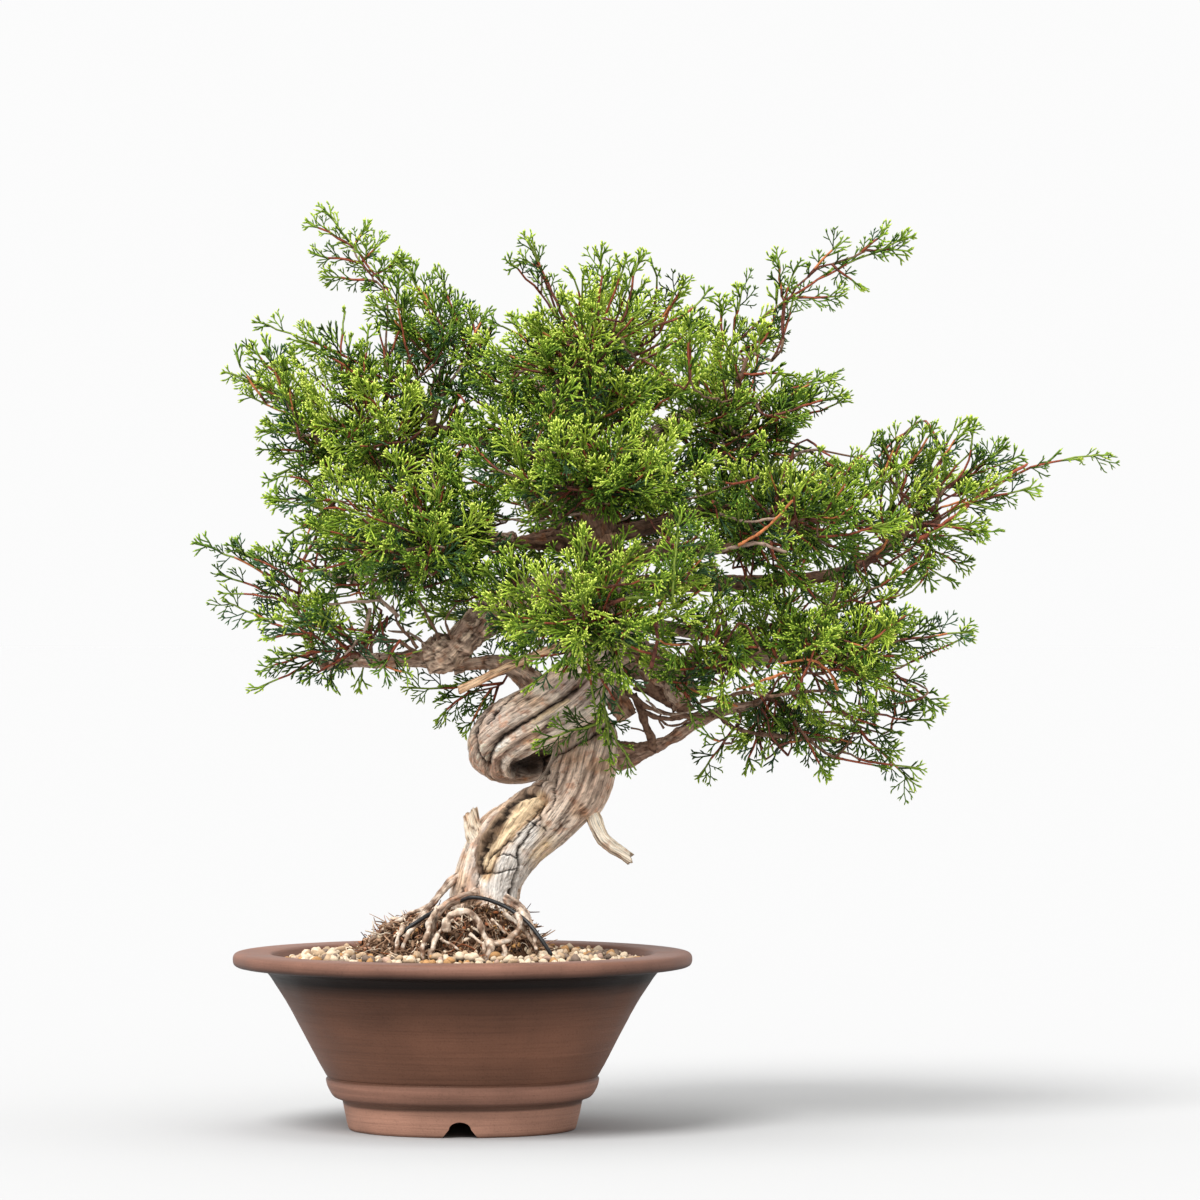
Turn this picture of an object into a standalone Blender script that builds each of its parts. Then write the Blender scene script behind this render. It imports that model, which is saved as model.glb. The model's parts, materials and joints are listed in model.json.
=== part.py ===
"""Juniper bonsai in a round, wide-lipped training pot.

A whip-cord juniper of about 36 cm stands on a mound of fibrous roots in an
unglazed brown bowl.  Its trunk leans to the right, turns a tight corkscrew
above a bare shoulder, and rises into an open crown of separate pads.

All sizes are millimetres round the pot's axis (x to the right, y to the back,
z up from the table), and MM turns them into metres.  The whole tree is carried
by one empty, which sets the origin under the middle of the tree's box.
"""
import math
import random

import bmesh
import bpy
from mathutils import Matrix, Vector, noise

MM = 0.001
NAME = "juniper_bonsai"

# ------------------------------------------------------------------ placement
POT_X = -93.5          # the pot stands left of the middle of the crown
POT_Y = 0.0
GAP = 0.45             # room left round a limb where another piece meets it

# ------------------------------------------------------------------------ pot
LIP_R = 110.3          # outside of the rolled lip
LIP_TOP = 85.3
LIP_UNDER = 78.1
MOUTH_R = 92.0         # inner edge of the lip
NECK_R, NECK_Z = 93.0, 75.0
WALL = 6.4
BELT_R, BELT_TOP, BELT_LOW = 65.0, 24.5, 13.6
FOOT_R_TOP, FOOT_R = 58.0, 54.7
FOOT_WALL = 5.6
RECESS_TOP = 8.6       # hollow under the pot, inside the foot ring
FLOOR_TOP = 15.4
DRAIN_R = 10.5
NOTCH_W, NOTCH_TOP_W, NOTCH_H = 17.0, 10.5, 7.7
POT_STEPS = 32

# ----------------------------------------------------------------------- soil
SOIL_GAP = 0.35
SOIL_TOP = 83.6        # flat middle that the root mound stands on
SOIL_EDGE = 79.0       # level at the wall
MOUND_TOP = 103.6      # flat top of the root mound, under the trunk
MOUND_R = (50.0, 46.0)
MOUND_TOP_R = (24.0, 22.5)
TRUNK_FOOT = 104.0     # flat cut under the trunk

# ---------------------------------------------------------------------- trunk
# centre line of the corkscrew: x, y, z, radius
TRUNK = [
    (12.0, 0, 104.0, 17.6), (12.6, 0, 111.5, 15.6), (16.5, 0, 124, 15.0),
    (24, 0, 138, 16.4), (39, 0, 151, 16.2), (51, 0, 164, 15.4),
    (58, 3, 177, 14.8), (61, 14, 186, 14.0), (55, 29, 187, 13.6),
    (41, 36, 182, 13.5), (25, 27, 178, 13.2), (16.5, 8, 181, 13.5),
    (19, -11, 189, 14.4), (30, -21, 196, 14.8), (45, -23, 204, 15.4),
    (58, -17, 214, 15.4), (66, -6, 228, 14.8), (69.5, 4, 244, 13.0),
    (69, 9, 264, 11.1), (65, 9, 285, 9.4), (60, 5, 307, 7.6),
    (52, 0, 331, 5.8), (48, 0, 353, 4.2), (52, 0, 377, 2.6),
]

# ---------------------------------------------------------------------- limbs
# every limb: the points of its centre line, with the radius at both ends.
# Each starts inside the limb that carries it, which it is cut round.
LIMBS = {
    "root_left": ([(12, -2, 124), (-3, -8, 121), (-13, -13, 110), (-21, -18, 101), (-28, -24, 93)], 4.2, 2.2),
    "root_front": ([(9, -10, 114), (1, -21, 112), (-8, -27, 108), (-13, -33, 101), (-14, -37, 91)], 3.0, 2.2),
    "root_right": ([(18, -8, 112), (28, -19, 107), (33, -28, 100), (37, -34, 91)], 4.0, 2.4),
    "root_back": ([(15, 8, 112), (20, 22, 107), (25, 33, 100), (29, 41, 91)], 4.0, 2.4),
    "stub_left": ([(13, -4, 133), (6.5, -6, 142), (4, -7, 151.5)], 5.2, 3.6),
    "jin_right": ([(52, -3, 164), (61, -5, 154), (64.5, -6, 145), (69, -7, 138), (80, -9, 130.5)], 3.8, 2.9),
    "jin_left": ([(60, -12, 237), (31, -24, 226), (-1, -31, 211)], 2.3, 2.0),
    "bough_left": ([(68, -1, 252), (52, -8, 258), (34, -12, 257), (18, -14, 251), (4, -15, 238),
                    (-8, -15, 229), (-17, -14, 226)], 8.6, 8.8),
    "bough_left_end": ([(-10, -15, 228), (-25, -13, 226), (-41, -10, 225), (-56, -8, 224), (-68, -6, 222)], 5.2, 2.2),
    "bough_left_link": ([(38, -18, 210), (24, -17, 222), (10, -16, 224), (-4, -16, 222)], 6.0, 3.4),
    "bough_upper_left": ([(66, 9, 284), (50, 7, 284), (32, 4, 282), (12, 2, 282)], 6.6, 3.2),
    "bough_knot": ([(66, -4, 230), (84, -9, 226), (98, -12, 219), (108, -14, 205)], 9.0, 8.0),
    "bough_right_low": ([(62, 12, 182), (76, 9, 179), (92, 4, 183), (106, -1, 191), (122, -5, 200), (140, -8, 204)], 7.6, 2.2),
    "stub_cut": ([(60, -16, 218), (71, -17, 212), (80, -17, 198)], 5.6, 4.8),
    "bough_right": ([(69, 6, 273), (90, -4, 276), (112, -12, 278), (132, -17, 280), (146, -18, 290)], 4.4, 2.2),
    "bough_right_under": ([(98, -12, 219), (116, -14, 222), (136, -18, 225), (156, -24, 228)], 4.2, 2.2),
    "bough_right_back": ([(69, 6, 246), (90, 20, 242), (112, 34, 238), (136, 42, 236)], 4.6, 2.4),
    "bough_far_right": ([(69, 9, 262), (104, 16, 262), (144, 12, 263), (180, 6, 267), (202, 3, 278), (216, 1, 290)], 4.8, 2.2),
    "bough_front": ([(69, 0, 248), (68, -26, 248), (66, -50, 249), (65, -70, 250)], 5.4, 3.0),
    "bough_back": ([(66, 12, 280), (67, 36, 287), (69, 58, 297), (70, 74, 302)], 5.6, 3.0),
    "bough_back_low": ([(69, 8, 258), (62, 34, 254), (52, 58, 252), (44, 76, 251)], 5.8, 3.0),
    "bough_left_top": ([(57, 3, 318), (36, -1, 324), (12, -5, 330), (-12, -8, 336)], 4.8, 2.6),
    "bough_right_top": ([(58, 4, 312), (80, 5, 326), (102, 6, 340), (120, 6, 350)], 4.8, 2.6),
    "bough_centre_front": ([(61, 5, 304), (60, -18, 309), (60, -36, 314), (60, -54, 317)], 4.2, 2.6),
    "bough_left_front": ([(22, 3, 282), (6, -14, 285), (-10, -32, 288)], 3.6, 2.4),
    "bough_left_back": ([(24, 4, 282), (8, 18, 284), (-10, 34, 286)], 3.8, 2.4),
    "bough_right_upper": ([(66, 9, 284), (90, 26, 290), (114, 40, 296), (132, 48, 299)], 4.6, 2.6),
}
DEADWOOD = ("stub_left", "jin_right", "jin_left")

STRAP = [(-30, -30, 94), (-21, -29, 101), (-9, -33, 108), (4, -30, 112.5), (14, -28, 111), (24, -30, 106.5),
         (33, -36, 99.5), (39, -40, 92), (43, -41, 86)]
STRAP_R = 1.1

# --------------------------------------------------------------------- masses
# each pad of foliage: centre, half sizes, lean in degrees (rising to the
# right), and the tips of its longest shoots
MASSES = {
    "foliage_left_top": ((-50, -8, 341), (60, 50, 37), -6, [(-112, -2, 362), (-104, 10, 334)]),
    "foliage_top_front": ((62, -43, 373), (60, 42, 41), 0, [(29, -44, 430), (74, -46, 421), (108, -40, 411)]),
    "foliage_top_back": ((62, 48, 367), (60, 46, 41), 0, [(66, 56, 423), (10, 64, 398)]),
    "foliage_right_top": ((134, 4, 353), (47, 62, 38), 12, [(184, -16, 356), (176, 20, 366), (146, 10, 398)]),
    "foliage_left_front": ((-30, -52, 292), (62, 42, 34), 0, [(-90, -46, 304), (-60, -92, 280)]),
    "foliage_left_back": ((-34, 48, 290), (60, 50, 36), 0, [(-92, 50, 300), (-40, 104, 292)]),
    "foliage_left_low": ((-66, -6, 245), (46, 62, 28), -6, [(-114, 6, 252), (-97, -30, 219), (-78, 30, 213)]),
    "foliage_front": ((64, -86, 250), (60, 38, 42), 0, [(62, -135, 256), (60, -62, 182), (8, -90, 246)]),
    "foliage_centre_front": ((58, -66, 320), (64, 42, 27), 0, [(40, -116, 330)]),
    "foliage_centre_back": ((70, 80, 308), (68, 46, 38), 0, [(70, 135, 306), (120, 112, 322)]),
    "foliage_right": ((162, -34, 302), (50, 42, 35), 6, [(172, -82, 306)]),
    "foliage_right_back": ((156, 54, 302), (52, 44, 36), 4, [(168, 104, 300)]),
    "foliage_far_right": ((228, 0, 299), (42, 48, 33), 24, [(244, -6, 338), (275, 4, 306), (254, 2, 276)]),
    "foliage_right_low": ((182, -44, 232), (60, 40, 29), 0, [(244, -30, 239), (234, -24, 206), (170, -92, 232)]),
    "foliage_right_low_back": ((172, 44, 236), (60, 44, 30), 0, [(228, 60, 240), (160, 96, 236)]),
    "foliage_right_bottom": ((166, -8, 189), (54, 52, 20), -6, [(217, -14, 166), (174, -24, 170), (113, -12, 170)]),
    "foliage_centre_low": ((112, -66, 226), (34, 36, 24), 0, [(100, -104, 216)]),
    "foliage_back_low": ((34, 88, 252), (68, 38, 32), 0, [(-30, 100, 246), (40, 134, 250)]),
    "foliage_sprig": ((-10, -6, 203), (18, 12, 8.5), -8, [(-27, -8, 207), (2, -4, 191)]),
    # the long shoots that stand clear of the pads
    "shoot_left_top": ((-34, -12, 399), (43, 18, 15), -55, [(-68, -14, 445), (-40, -12, 427)]),
    "shoot_left": ((-68, -18, 379), (34, 12, 8), -22, [(-99, -18, 389)]),
    "shoot_left_low": ((-103, -12, 271), (23, 12, 7.5), -22, [(-125, -12, 281)]),
    "shoot_right_top": ((180, -4, 406), (42, 15, 10), 34, [(219, -4, 432), (152, -6, 417)]),
    "shoot_far_right": ((286, -4, 318), (27, 10, 6.5), 14, [(312, -4, 324)]),
}
PAD_SIDES, PAD_RINGS = 12, 8
MASS_GAP = 0.5         # half of the least air between two pads

# -------------------------------------------------------------------- colours
COLOURS = {
    "pot": ((0.155, 0.072, 0.048), 0.62),
    "soil": ((0.60, 0.46, 0.32), 0.90),
    "root_mound": ((0.10, 0.055, 0.032), 0.95),
    "bark": ((0.24, 0.17, 0.125), 0.88),
    "deadwood": ((0.50, 0.36, 0.22), 0.80),
    "foliage": ((0.09, 0.20, 0.030), 0.70),
    "strap": ((0.012, 0.012, 0.013), 0.45),
}


# ------------------------------------------------------------------ scene set
def clear_scene():
    for ob in list(bpy.data.objects):
        bpy.data.objects.remove(ob, do_unlink=True)


def new_collection(name):
    col = bpy.data.collections.new(name)
    bpy.context.scene.collection.children.link(col)
    return col


def material(name, colour, roughness):
    mat = bpy.data.materials.new(name)
    mat.use_nodes = True
    shader = mat.node_tree.nodes["Principled BSDF"]
    shader.inputs["Base Color"].default_value = (*colour, 1.0)
    shader.inputs["Roughness"].default_value = roughness
    shader.inputs["Metallic"].default_value = 0.0
    return mat


clear_scene()
PARTS = new_collection(NAME)
CUTTERS = new_collection(NAME + "_cutters")

ROOT = bpy.data.objects.new(NAME + "_origin", None)
ROOT.location = (POT_X * MM, POT_Y * MM, 0.0)
PARTS.objects.link(ROOT)


def finish_part(ob, kind):
    """A finished piece, with its own material."""
    colour, roughness = COLOURS[kind]
    ob.data.materials.clear()
    ob.data.materials.append(material("mat_" + ob.name, colour, roughness))
    return ob


def link_mesh(name, bm, collection=None):
    me = bpy.data.meshes.new(name)
    bm.to_mesh(me)
    bm.free()
    ob = bpy.data.objects.new(name, me)
    (collection or PARTS).objects.link(ob)
    ob.parent = ROOT
    return ob


def as_cutter(ob):
    ob.hide_render = True
    ob.display_type = "WIRE"
    return ob


# ------------------------------------------------------------- Boolean and tidy
def cut(ob, cutter):
    mod = ob.modifiers.new("cut_" + cutter.name, "BOOLEAN")
    mod.operation = "DIFFERENCE"
    mod.solver = "EXACT"
    mod.object = cutter


def islands(bm):
    left = set(bm.verts)
    while left:
        seed = left.pop()
        group, stack = {seed}, [seed]
        while stack:
            v = stack.pop()
            for e in v.link_edges:
                w = e.other_vert(v)
                if w in left:
                    left.discard(w)
                    group.add(w)
                    stack.append(w)
        yield group


def settle(ob):
    """Apply the cuts and keep the main body, without the crumbs they leave."""
    if not ob.modifiers:
        return
    bpy.context.view_layer.update()
    graph = bpy.context.evaluated_depsgraph_get()
    done = bpy.data.meshes.new_from_object(ob.evaluated_get(graph))
    ob.modifiers.clear()
    bm = bmesh.new()
    bm.from_mesh(done)
    bmesh.ops.remove_doubles(bm, verts=bm.verts[:], dist=0.00002)
    bmesh.ops.dissolve_degenerate(bm, edges=bm.edges[:], dist=0.00001)
    groups = sorted(islands(bm), key=len, reverse=True)
    for group in groups[1:]:
        bmesh.ops.delete(bm, geom=list(group), context="VERTS")
    bmesh.ops.triangulate(bm, faces=bm.faces[:])
    old = ob.data
    old.clear_geometry()
    bm.to_mesh(old)
    bm.free()
    bpy.data.meshes.remove(done)


def boxes_touch(a, b, room=1.0):
    def box(ob):
        pts = [v.co for v in ob.data.vertices]
        return ([min(p[i] for p in pts) for i in range(3)], [max(p[i] for p in pts) for i in range(3)])
    (a0, a1), (b0, b1) = box(a), box(b)
    return all(a0[i] - room * MM < b1[i] and b0[i] - room * MM < a1[i] for i in range(3))


# ----------------------------------------------------------------------- limbs
def spline_points(points, spacing):
    """Points along a Catmull-Rom curve through x, y, z, r points."""
    ends = [tuple(2 * a - b for a, b in zip(points[0], points[1])),
            tuple(2 * a - b for a, b in zip(points[-1], points[-2]))]
    p = [ends[0], *points, ends[1]]
    out = []
    for i in range(1, len(p) - 2):
        length = math.dist(p[i][:3], p[i + 1][:3])
        n = max(1, round(length / spacing))
        for k in range(n):
            t = k / n
            out.append(tuple(
                0.5 * (2 * b + (c - a) * t + (2 * a - 5 * b + 4 * c - d) * t * t + (3 * b - a - 3 * c + d) * t ** 3)
                for a, b, c, d in zip(p[i - 1], p[i], p[i + 1], p[i + 2])))
    out.append(points[-1])
    return out


def tube(name, points, resolution, grow=0.0, reach=0.0):
    """A tapering tube with closed ends, through x, y, z, r points in mm."""
    pts = [list(q) for q in points]
    if reach:
        for end, nxt in ((0, 1), (-1, -2)):
            a, b = Vector(pts[end][:3]), Vector(pts[nxt][:3])
            a += (a - b).normalized() * reach
            pts[end][:3] = a[:]
    curve = bpy.data.curves.new(name, "CURVE")
    curve.dimensions = "3D"
    curve.bevel_depth = 1.0
    curve.bevel_resolution = resolution
    curve.use_fill_caps = True
    curve.twist_mode = "MINIMUM"
    line = curve.splines.new("POLY")
    line.points.add(len(pts) - 1)
    for point, (x, y, z, r) in zip(line.points, pts):
        point.co = (x * MM, y * MM, z * MM, 1.0)
        point.radius = (r + grow) * MM
    holder = bpy.data.objects.new(name + "_curve", curve)
    PARTS.objects.link(holder)
    holder.parent = ROOT
    bpy.context.view_layer.update()
    graph = bpy.context.evaluated_depsgraph_get()
    me = bpy.data.meshes.new_from_object(holder.evaluated_get(graph))
    bm = bmesh.new()
    bm.from_mesh(me)
    bmesh.ops.remove_doubles(bm, verts=bm.verts[:], dist=0.00001)
    bmesh.ops.recalc_face_normals(bm, faces=bm.faces[:])
    bpy.data.meshes.remove(me)
    ob = link_mesh(name, bm)
    ob.matrix_world = holder.matrix_world
    bpy.data.objects.remove(holder, do_unlink=True)
    bpy.data.curves.remove(curve)
    return ob


def flatten_foot(ob, level):
    """Bring the lowest ring of the trunk down on to one level cut."""
    for v in ob.data.vertices:
        if v.co.z < (level + 1.2) * MM:
            v.co.z = level * MM


def limb_points(points, r0, r1, spacing):
    """Spread an even taper over a limb's length, then smooth it."""
    run = [0.0]
    for a, b in zip(points, points[1:]):
        run.append(run[-1] + math.dist(a, b))
    full = [(*p, r0 + (r1 - r0) * s / run[-1]) for p, s in zip(points, run)]
    return spline_points(full, spacing)


# ------------------------------------------------------------------------- pot
def ring_profile(name, loop, closed, steps, collection=None):
    """Turn an r, z profile round the vertical axis."""
    bm = bmesh.new()
    vs = [bm.verts.new((r * MM, 0.0, z * MM)) for r, z in loop]
    for a, b in zip(vs, vs[1:]):
        bm.edges.new((a, b))
    if closed:
        bm.edges.new((vs[-1], vs[0]))
    ob = link_mesh(name, bm, collection)
    turn = ob.modifiers.new("turn", "SCREW")
    turn.axis = "Z"
    turn.angle = 2 * math.pi
    turn.steps = steps
    turn.render_steps = steps
    turn.use_merge_vertices = True
    turn.merge_threshold = 0.00001
    return ob


def inner_wall():
    """Inside of the pot from the mouth down to the floor, r and z."""
    return [(MOUTH_R - 1.8, 82.0), (NECK_R - WALL, NECK_Z), (78.6, 62.0), (68.2, 42.5), (58.4, 24.5), (52.0, FLOOR_TOP)]


def build_pot():
    outer = [
        (LIP_R - 3.2, LIP_TOP - 0.2), (LIP_R - 0.8, LIP_TOP - 1.8), (LIP_R, 0.5 * (LIP_TOP + LIP_UNDER)),
        (LIP_R - 1.0, LIP_UNDER + 1.4), (LIP_R - 3.6, LIP_UNDER),
        (NECK_R + 3.0, NECK_Z + 0.6), (NECK_R, NECK_Z - 1.2), (90.6, 71.0), (84.6, 61.8), (74.5, 42.5), (64.9, 25.4),
        (64.0, BELT_TOP), (BELT_R + 0.3, 23.4), (BELT_R, 19.0), (61.6, 14.2),
        (FOOT_R_TOP, BELT_LOW), (FOOT_R, 0.0),
        (FOOT_R - FOOT_WALL, 0.0), (FOOT_R - FOOT_WALL + 0.6, RECESS_TOP), (DRAIN_R, RECESS_TOP), (DRAIN_R, FLOOR_TOP),
    ]
    inner = list(reversed(inner_wall()))
    loop = outer + inner + [(MOUTH_R, LIP_TOP - 0.4), (MOUTH_R + 2.0, LIP_TOP)]
    pot = ring_profile("pot", loop, True, POT_STEPS)
    for k in range(2):
        bm = bmesh.new()
        half = 70.0
        arch = [(-NOTCH_W / 2, -2.0), (NOTCH_W / 2, -2.0), (NOTCH_W / 2, 0.0)]
        arch += [(NOTCH_TOP_W / 2 * math.cos(a) + 0.0, NOTCH_H * (0.55 + 0.45 * math.sin(a)))
                 for a in (0.0, math.pi / 4, math.pi / 2, 3 * math.pi / 4, math.pi)]
        arch += [(-NOTCH_W / 2, 0.0)]
        front = [bm.verts.new((x * MM, -half * MM, z * MM)) for x, z in arch]
        face = bm.faces.new(front)
        grown = bmesh.ops.extrude_face_region(bm, geom=[face])
        bmesh.ops.translate(bm, vec=(0, 2 * half * MM, 0),
                            verts=[g for g in grown["geom"] if isinstance(g, bmesh.types.BMVert)])
        bmesh.ops.rotate(bm, verts=bm.verts[:], matrix=Matrix.Rotation(k * math.pi / 2, 3, "Z"))
        bmesh.ops.recalc_face_normals(bm, faces=bm.faces[:])
        notch = as_cutter(link_mesh("notch_%d" % k, bm, CUTTERS))
        cut(pot, notch)
    settle(pot)
    return finish_part(pot, "pot")


def build_soil():
    wall = [(r - SOIL_GAP, z) for r, z in inner_wall()]
    (r0, z0), (r1, z1) = wall[0], wall[1]
    edge = r1 + (r0 - r1) * (SOIL_EDGE - z1) / (z0 - z1)
    loop = [(0.0, SOIL_TOP), (60.0, SOIL_TOP), (76.0, SOIL_TOP - 2.2), (edge, SOIL_EDGE)]
    loop += wall[1:-1] + [(wall[-1][0], FLOOR_TOP + SOIL_GAP), (0.0, FLOOR_TOP + SOIL_GAP)]
    soil = ring_profile("soil", loop, False, POT_STEPS)
    settle(soil)
    return finish_part(soil, "soil")


def build_mound(cutters):
    """Fibrous root mound: uneven rings from the gravel up to a flat top."""
    levels = [(SOIL_TOP + 0.35, 1.0, -6.0), (87.5, 0.98, -5.5), (91.5, 0.90, -4.0), (96.0, 0.78, -1.0),
              (100.5, 0.64, 4.0), (MOUND_TOP, 0.0, 9.0)]
    turns = 26
    bm = bmesh.new()
    rings = []
    for k, (z, share, cx) in enumerate(levels):
        ring = []
        for j in range(turns):
            a = 2 * math.pi * j / turns
            if share:
                rx, ry = MOUND_R[0] * share, MOUND_R[1] * share
                wob = 1.0 + 0.05 * noise.noise(Vector((3 * math.cos(a), 3 * math.sin(a), z / 7.0)))
            else:
                (rx, ry), wob = MOUND_TOP_R, 1.0
            ring.append(bm.verts.new(((cx + rx * wob * math.cos(a)) * MM, ry * wob * math.sin(a) * MM, z * MM)))
        rings.append(ring)
    for lower, upper in zip(rings, rings[1:]):
        for j in range(turns):
            n = (j + 1) % turns
            bm.faces.new((lower[j], lower[n], upper[n], upper[j]))
    bm.faces.new(list(reversed(rings[0])))
    bm.faces.new(rings[-1])
    mound = link_mesh("root_mound", bm)
    for c in cutters:
        if boxes_touch(mound, c):
            cut(mound, c)
    settle(mound)
    return finish_part(mound, "root_mound")


# --------------------------------------------------------------------- foliage
class Pad:
    """One uneven pad of foliage, drawn out to the tips of its long shoots."""

    def __init__(self, name, spec, seed):
        centre, size, lean, tips = spec
        self.name, self.seed = name, seed
        self.c = Vector(centre)
        self.r = size
        turn = Matrix.Rotation(-math.radians(lean), 3, "Y")
        self.m = turn @ Matrix.Diagonal(size)
        self.s = turn @ Matrix.Diagonal([q * q for q in size]) @ turn.transposed()
        self.tips = [Vector(t) for t in tips]
        self.planes = []

    def split_from(self, other):
        """The plane half way between two pads, in the measure of their sizes."""
        d = other.c - self.c
        n = ((self.s + other.s).inverted() @ d).normalized()
        mine, theirs = math.sqrt(n.dot(self.s @ n)), math.sqrt(n.dot(other.s @ n))
        a, b = n.dot(self.c), n.dot(other.c)
        h = a + (b - a) * mine / (mine + theirs)
        self.planes.append((n, h - MASS_GAP))
        other.planes.append((-n, -h - MASS_GAP))

    def build(self, cutters):
        bm = bmesh.new()
        share = 1.0 if min(self.r) > 19 else 0.7
        bmesh.ops.create_uvsphere(bm, u_segments=round(PAD_SIDES * share), v_segments=round(PAD_RINGS * share), radius=1.0)
        bmesh.ops.triangulate(bm, faces=bm.faces[:])
        inv = self.m.inverted()
        offset = Vector((7.3 * self.seed, -3.1 * self.seed, 1.7 * self.seed))
        place = {}
        for v in bm.verts:
            u = v.co.normalized()
            f = 0.97 + 0.17 * noise.noise(u * 1.5 + offset) + 0.10 * noise.noise(u * 3.4 - offset)
            place[v] = u * f
        units = {v: v.co.normalized() for v in bm.verts}
        used = set()
        for tip in self.tips:
            w = inv @ (tip - self.c)
            d = w.normalized()
            best = max((v for v in bm.verts if v not in used), key=lambda v: units[v].dot(d))
            used.add(best)
            place[best] = w
            for e in best.link_edges:
                n = e.other_vert(best)
                if n not in used:
                    f = place[n].length
                    place[n] = place[n].normalized() * (f + 0.22 * max(0.0, w.length - f))
        for v in bm.verts:
            d = self.m @ place[v]
            t = 1.0
            for n, h in self.planes:
                along = n.dot(d)
                if along > 1e-9:
                    t = min(t, (h - n.dot(self.c)) / along)
            v.co = (self.c + d * max(t, 0.05)) * MM
        ob = link_mesh(self.name, bm)
        for c in cutters:
            if boxes_touch(ob, c):
                cut(ob, c)
        settle(ob)
        return finish_part(ob, "foliage")


# -------------------------------------------------------------------- assembly
def main():
    random.seed(7)
    build_pot()
    build_soil()

    trunk_line = spline_points(TRUNK, 12.0)
    trunk = tube("trunk", trunk_line, 4)
    flatten_foot(trunk, TRUNK_FOOT)
    finish_part(trunk, "bark")
    made = [as_cutter(tube("room_trunk", trunk_line, 4, GAP, GAP))]

    for name, (points, r0, r1) in LIMBS.items():
        line = limb_points(points, r0, r1, 16.0)
        ob = tube(name, line, 2)
        for c in made:
            if boxes_touch(ob, c):
                cut(ob, c)
        settle(ob)
        finish_part(ob, "deadwood" if name in DEADWOOD else "bark")
        made.append(as_cutter(tube("room_" + name, line, 2, GAP, GAP)))

    strap_line = spline_points([(*p, STRAP_R) for p in STRAP], 9.0)
    strap = tube("tie_strap", strap_line, 2)
    for c in made:
        if boxes_touch(strap, c):
            cut(strap, c)
    settle(strap)
    finish_part(strap, "strap")
    made.append(as_cutter(tube("room_tie_strap", strap_line, 2, GAP, GAP)))

    build_mound(made)

    pads = [Pad(name, spec, i + 1) for i, (name, spec) in enumerate(MASSES.items())]
    for i, a in enumerate(pads):
        for b in pads[i + 1:]:
            a.split_from(b)
    for pad in pads:
        pad.build(made)

    for c in made:
        PARTS.objects.unlink(c)
        CUTTERS.objects.link(c)
    for ob in PARTS.objects:
        if ob.type == "MESH":
            ob.data.shade_smooth()
            ob.data.set_sharp_from_angle(angle=math.radians(40))


main()
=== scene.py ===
"""Looks of the juniper bonsai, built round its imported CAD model.

Sizes are millimetres round the pot's axis (x right, y back, z up from the
table) until a mesh is made, when they become metres in the frame of the CAD.
"""
import json
import math

import bmesh
import bpy
import numpy as np
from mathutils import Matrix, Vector
from mathutils.bvhtree import BVHTree

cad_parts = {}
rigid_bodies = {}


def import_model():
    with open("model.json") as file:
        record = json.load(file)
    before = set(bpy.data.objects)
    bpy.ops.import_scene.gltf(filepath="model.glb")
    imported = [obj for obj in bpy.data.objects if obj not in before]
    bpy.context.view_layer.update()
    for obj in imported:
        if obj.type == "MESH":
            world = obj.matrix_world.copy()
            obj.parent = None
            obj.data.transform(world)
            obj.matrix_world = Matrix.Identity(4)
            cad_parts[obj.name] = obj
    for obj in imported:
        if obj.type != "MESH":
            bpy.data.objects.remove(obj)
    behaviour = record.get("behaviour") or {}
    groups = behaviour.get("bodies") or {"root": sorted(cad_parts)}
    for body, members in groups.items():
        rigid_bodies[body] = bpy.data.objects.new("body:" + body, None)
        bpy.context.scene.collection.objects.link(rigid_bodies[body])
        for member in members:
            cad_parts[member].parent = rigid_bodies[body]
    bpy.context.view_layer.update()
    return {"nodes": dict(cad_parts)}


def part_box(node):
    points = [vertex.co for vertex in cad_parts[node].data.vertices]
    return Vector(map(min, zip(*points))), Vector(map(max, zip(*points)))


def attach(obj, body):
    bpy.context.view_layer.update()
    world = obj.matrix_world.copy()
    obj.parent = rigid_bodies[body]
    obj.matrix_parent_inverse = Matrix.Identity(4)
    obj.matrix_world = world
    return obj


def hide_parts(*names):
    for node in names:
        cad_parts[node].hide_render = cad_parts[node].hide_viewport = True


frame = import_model()

MM = 0.001
_lo, _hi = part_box("pot")
AXIS = np.array([500.0 * (_lo[0] + _hi[0]), 500.0 * (_lo[1] + _hi[1]), 0.0])   # pot's axis in the frame, mm

# camera: level, a long lens, the pot left of the middle
FOCAL_PX, DISTANCE, EYE_X, EYE_Z = 6150.0, 2957.0, 66.1, 254.1


def world(points):
    return (np.asarray(points, float) + AXIS) * MM


def pixel(p):
    """Where points in mm fall in the 1200 x 1200 view."""
    s = FOCAL_PX / (DISTANCE + p[..., 1])
    return 600 + (p[..., 0] - EYE_X) * s, 600 - (p[..., 2] - EYE_Z) * s


def unproject(px, py, y):
    """The point in mm that shows at a pixel of the view, at a given depth."""
    s = FOCAL_PX / (DISTANCE + y)
    return np.array([EYE_X + (px - 600) / s, y, EYE_Z - (py - 600) / s])


def lin(rgb):
    c = np.asarray(rgb, float) / 255.0
    return np.where(c <= 0.04045, c / 12.92, ((c + 0.055) / 1.055) ** 2.4)


def unit(v):
    v = np.asarray(v, float)
    return v / (np.linalg.norm(v, axis=-1, keepdims=True) + 1e-12)


def mix(a, b, w):
    w = np.clip(w, 0, 1)
    if np.ndim(w) and np.ndim(a) >= 1 and np.shape(a)[-1] == 3 and np.shape(w)[-1:] != (3,):
        w = w[..., None]
    return a * (1 - w) + b * w


def smooth(lo, hi, x):
    t = np.clip((x - lo) / (hi - lo), 0, 1)
    return t * t * (3 - 2 * t)


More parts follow.
